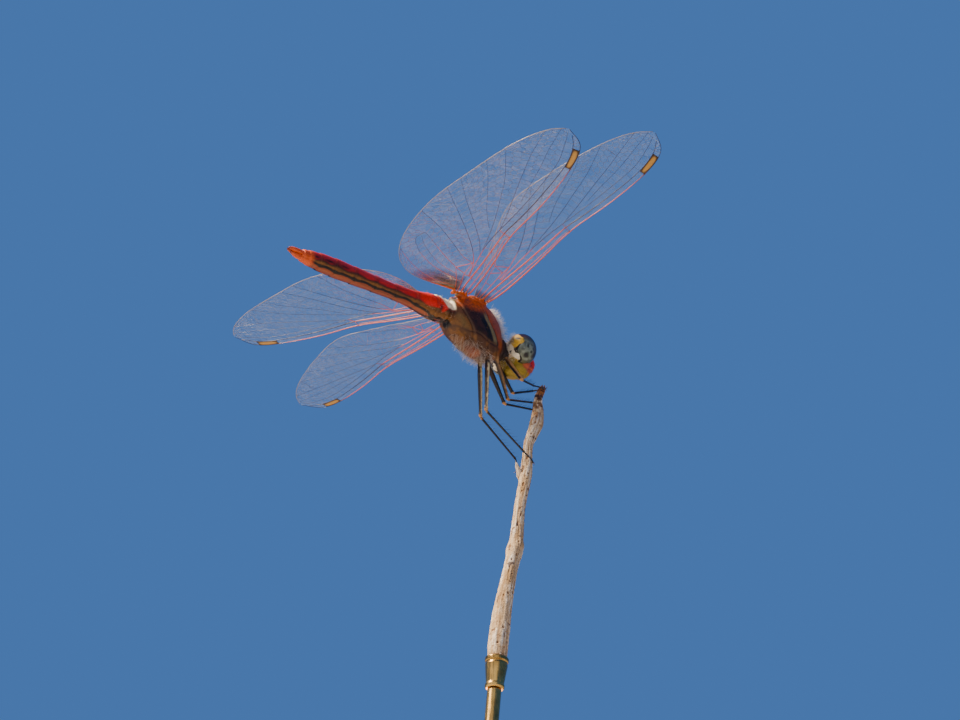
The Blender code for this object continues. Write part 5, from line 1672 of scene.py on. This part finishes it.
class DARTER_PG_legs(bpy.types.PropertyGroup):
    """Legs"""
    spine: length("Spine length", "Length of the tibia's spines", 0.5)
    black: tint("Black", "Ground colour", "#0E0A08")
    brown: tint("Brown", "Leg roots and claws", "#5A3A1C")
    orange: tint("Orange", "Stripes of the front legs, and knees", "#C08A48")
    cream: tint("Cream", "Stripes of the hind legs", "#E6D6A0")


class DARTER_PG_wings(bpy.types.PropertyGroup):
    """Wings"""
    finest: length("Finest vein", "Radius of the cells' walls", 0.015)
    film: length("Membrane", "Thickness of the membrane, drawn thicker than the real film", 0.012)
    red: tint("Red veins", "Veins of the wings' inner half", "#BE5234")
    black: tint("Dark veins", "Veins of the wings' outer half", "#2A1E18")
    # The rear margin's pale colour is partly a painted highlight
    pale: tint("Rear margin", "Vein along the trailing edge", "#94887E")
    # The cells' walls are lightened to grey as a painted sheen
    net: tint("Cell walls", "Fine veins between the main ones", "#625C58")
    clear: tint("Clear film", "Clear part of the membrane", "#DCE2E6")
    amber: tint("Amber", "Stain at the wings' bases", "#7E5E10")
    umber: tint("Umber", "Brown cells in the amber stain", "#40300C")
    ochre: tint("Wing mark", "Middle of the wing mark", "#B98A3A")
    root: tint("Hinge plates", "Plates between the thorax and the wings", "#C8580E")


class DARTER_PG_perch(bpy.types.PropertyGroup):
    """Twig and stand"""
    wood: tint("Wood", "Bare wood of the twig", "#C2A47C")
    silver: tint("Silvered", "Fibres bleached by the sun", "#EADFCB")
    tan: tint("Tan", "Hollows of the twig", "#9A774A")
    brown: tint("Brown", "Flecks of bark", "#6B4226")
    dark: tint("Dark", "Darkest flecks", "#3A2024")
    rust: tint("Rust", "Tip of the twig", "#A8642C")
    walnut: tint("Walnut", "Light grain of the base", "#6E4527")
    heart: tint("Walnut heart", "Dark grain of the base", "#3A2213")
    brass: tint("Brass", "Rod and collar", "#C9A35A")


class DARTER_PG_stage(bpy.types.PropertyGroup):
    """Stage"""
    floor: tint("Floor", "Plain floor", "#C4C2BE")
    surround: tint("Surround", "Plain backdrop and the soft light that it gives", "#578DDF")
    brightness: amount("Surround brightness", "Strength of the surround", 0.62)
    key: amount("Key light", "Power of the light above the model", 3.8, unit="POWER")
    fill: amount("Fill light", "Power of the light beside the camera", 0.85, unit="POWER")
    lens: amount("Lens", "Focal length of the camera, in millimetres", 49.47, unit="CAMERA")


def tints_of(group):
    """The colours of a settings group by name."""
    return {name: tuple(getattr(group, name)) for name in type(group).__annotations__
            if group.bl_rna.properties[name].subtype == "COLOR"}


class DARTER_OT_body(bpy.types.Operator):
    """Builds the skin of head, thorax and abdomen, the antennae and the tail's appendages"""
    bl_idname = "darter.body"
    bl_label = "Build body"

    def execute(self, context):
        scene = context.scene
        tints = tints_of(scene.darter_body)
        nodes = ["head", "vertex", "frons", "clypeus", "labrum", "labium", "neck", "prothorax", "thorax"]
        nodes += [f"abdomen_s{number}" for number in range(1, 11)]
        skin = body_skin(tints, scene.darter_body.grain / MM)
        surface = Shape(*skin[:2], paint=skin[2])
        make_piece("body_skin", surface, cuticle("body_cuticle"), nodes)
        hairs = coat(skin, tints_of(scene.darter_hairs), scene.darter_hairs.longest / MM)
        make_piece("body_coat", hairs, hair_chitin("body_hair"))
        tail = cuticle("tail_cuticle", 0.12, 0.01, 0.38, 0.25)
        for name in ("cercus_left", "cercus_right", "lower_appendage"):
            make_piece(f"{name}_form", tail_appendage(name, tints), tail, (name,))
        dark = tints_of(scene.darter_legs)
        horn = cuticle("antenna_cuticle", 0.1, 0.006, 0.35, 0.3)
        for side in SIDES:
            name = f"antenna_{side}"
            make_piece(f"{name}_form", antenna_shape(side, dark), horn, (name,))
        return {"FINISHED"}


class DARTER_OT_eyes(bpy.types.Operator):
    """Builds the compound eyes and the three simple eyes"""
    bl_idname = "darter.eyes"
    bl_label = "Build eyes"

    def execute(self, context):
        tints = tints_of(context.scene.darter_eyes)
        cornea = eye_cornea()
        for side in SIDES:
            make_piece(f"eye_{side}_surface", eye_surface(side, tints), cornea,
                       (f"eye_{side}",))
        domes = cuticle("ocellus_chitin", 0.3, 0.002, 0.12, 0.8)
        make_piece("simple_eyes", ocelli(tints), domes)
        return {"FINISHED"}


class DARTER_OT_wings(bpy.types.Operator):
    """Builds the veins, membrane and mark of the four wings"""
    bl_idname = "darter.wings"
    bl_label = "Build wings"

    def execute(self, context):
        setting = context.scene.darter_wings
        tints = tints_of(setting)
        vein = cuticle("vein_chitin", 0.08, 0.006, 0.38, 0.3)
        film = membrane()
        mark = cuticle("wing_mark_chitin", 0.1, 0.01, 0.45, 0.2)
        for name in WING_POSES:
            make_piece(f"{name}_veins", wing_veins(name, tints, setting.finest / MM), vein, (name,))
            make_piece(f"{name}_membrane", wing_membrane(name, tints, setting.film / MM), film)
            make_piece(f"{name}_mark", wing_stigma(name, tints), mark)
        make_piece("wing_hinge_plates", wing_roots(tints), mark)
        return {"FINISHED"}


class DARTER_OT_legs(bpy.types.Operator):
    """Builds the six legs, their claws and their spines"""
    bl_idname = "darter.legs"
    bl_label = "Build legs"

    def execute(self, context):
        setting = context.scene.darter_legs
        tints = tints_of(setting)
        chitin = cuticle("leg_cuticle", 0.1, 0.008, 0.36, 0.3)
        for leg in LEG_POSES:
            nodes = [f"{part}_{leg}" for part in ("femur", "tibia", "tarsus")]
            make_piece(f"leg_{leg}", leg_shape(leg, tints), chitin, nodes)
        make_piece("claws", claw_shape(tints), chitin)
        spines = leg_bristles(tints, setting.spine / MM)
        make_piece("leg_spines", spines, hair_chitin("leg_spine"))
        return {"FINISHED"}


class DARTER_OT_perch(bpy.types.Operator):
    """Builds the twig and the display stand"""
    bl_idname = "darter.perch"
    bl_label = "Build twig and stand"

    def execute(self, context):
        tints = tints_of(context.scene.darter_perch)
        make_piece("twig_wood", twig(tints), weathered_wood(), ("perch_twig",))
        walnut = oiled_walnut(tints["heart"], tints["walnut"])
        make_piece("base_disc", stand_base(), walnut, ("stand_base",))
        brass = drawn_brass(tints["brass"])
        for node in ("stand_rod", "stand_collar"):
            make_piece(f"{node}_turned", stand_metal(node), brass, (node,))
        return {"FINISHED"}


class DARTER_OT_stage(bpy.types.Operator):
    """Sets the floor, the lights and the camera"""
    bl_idname = "darter.stage"
    bl_label = "Set the stage"

    def execute(self, context):
        build_stage(context.scene, context.scene.darter_stage)
        return {"FINISHED"}


GROUPS = (DARTER_PG_body, DARTER_PG_hairs, DARTER_PG_eyes, DARTER_PG_wings, DARTER_PG_legs,
          DARTER_PG_perch, DARTER_PG_stage)
STEPS = (DARTER_OT_body, DARTER_OT_eyes, DARTER_OT_wings, DARTER_OT_legs, DARTER_OT_perch, DARTER_OT_stage)


class DARTER_PT_panel(bpy.types.Panel):
    """Lists the steps that build the model, with their settings"""
    bl_idname = "DARTER_PT_panel"
    bl_label = "Perched darter dragonfly"
    bl_space_type = "VIEW_3D"
    bl_region_type = "UI"
    bl_category = "Darter"

    def draw(self, context):
        for step in STEPS:
            self.layout.operator(step.bl_idname)
        for group in GROUPS:
            box = self.layout.box()
            box.label(text=group.__doc__)
            for name in group.__annotations__:
                box.prop(getattr(context.scene, key_of(group)), name)


def key_of(group):
    """The scene property that holds a settings group."""
    return group.__name__.lower().replace("_pg_", "_")


def register():
    """Registers the classes and hangs their settings on the scene."""
    for item in (*GROUPS, *STEPS, DARTER_PT_panel):
        bpy.utils.register_class(item)
    for group in GROUPS:
        setattr(bpy.types.Scene, key_of(group), bpy.props.PointerProperty(type=group))


def unregister():
    """Undoes register()."""
    for group in GROUPS:
        delattr(bpy.types.Scene, key_of(group))
    for item in reversed((*GROUPS, *STEPS, DARTER_PT_panel)):
        bpy.utils.unregister_class(item)


def main():
    """Registers the add-on and runs its steps in order."""
    register()
    for step in STEPS:
        group, name = step.bl_idname.split(".")
        if getattr(getattr(bpy.ops, group), name)() != {"FINISHED"}:
            raise RuntimeError(f"{step.bl_idname} didn't finish")


if __name__ == "__main__":
    main()
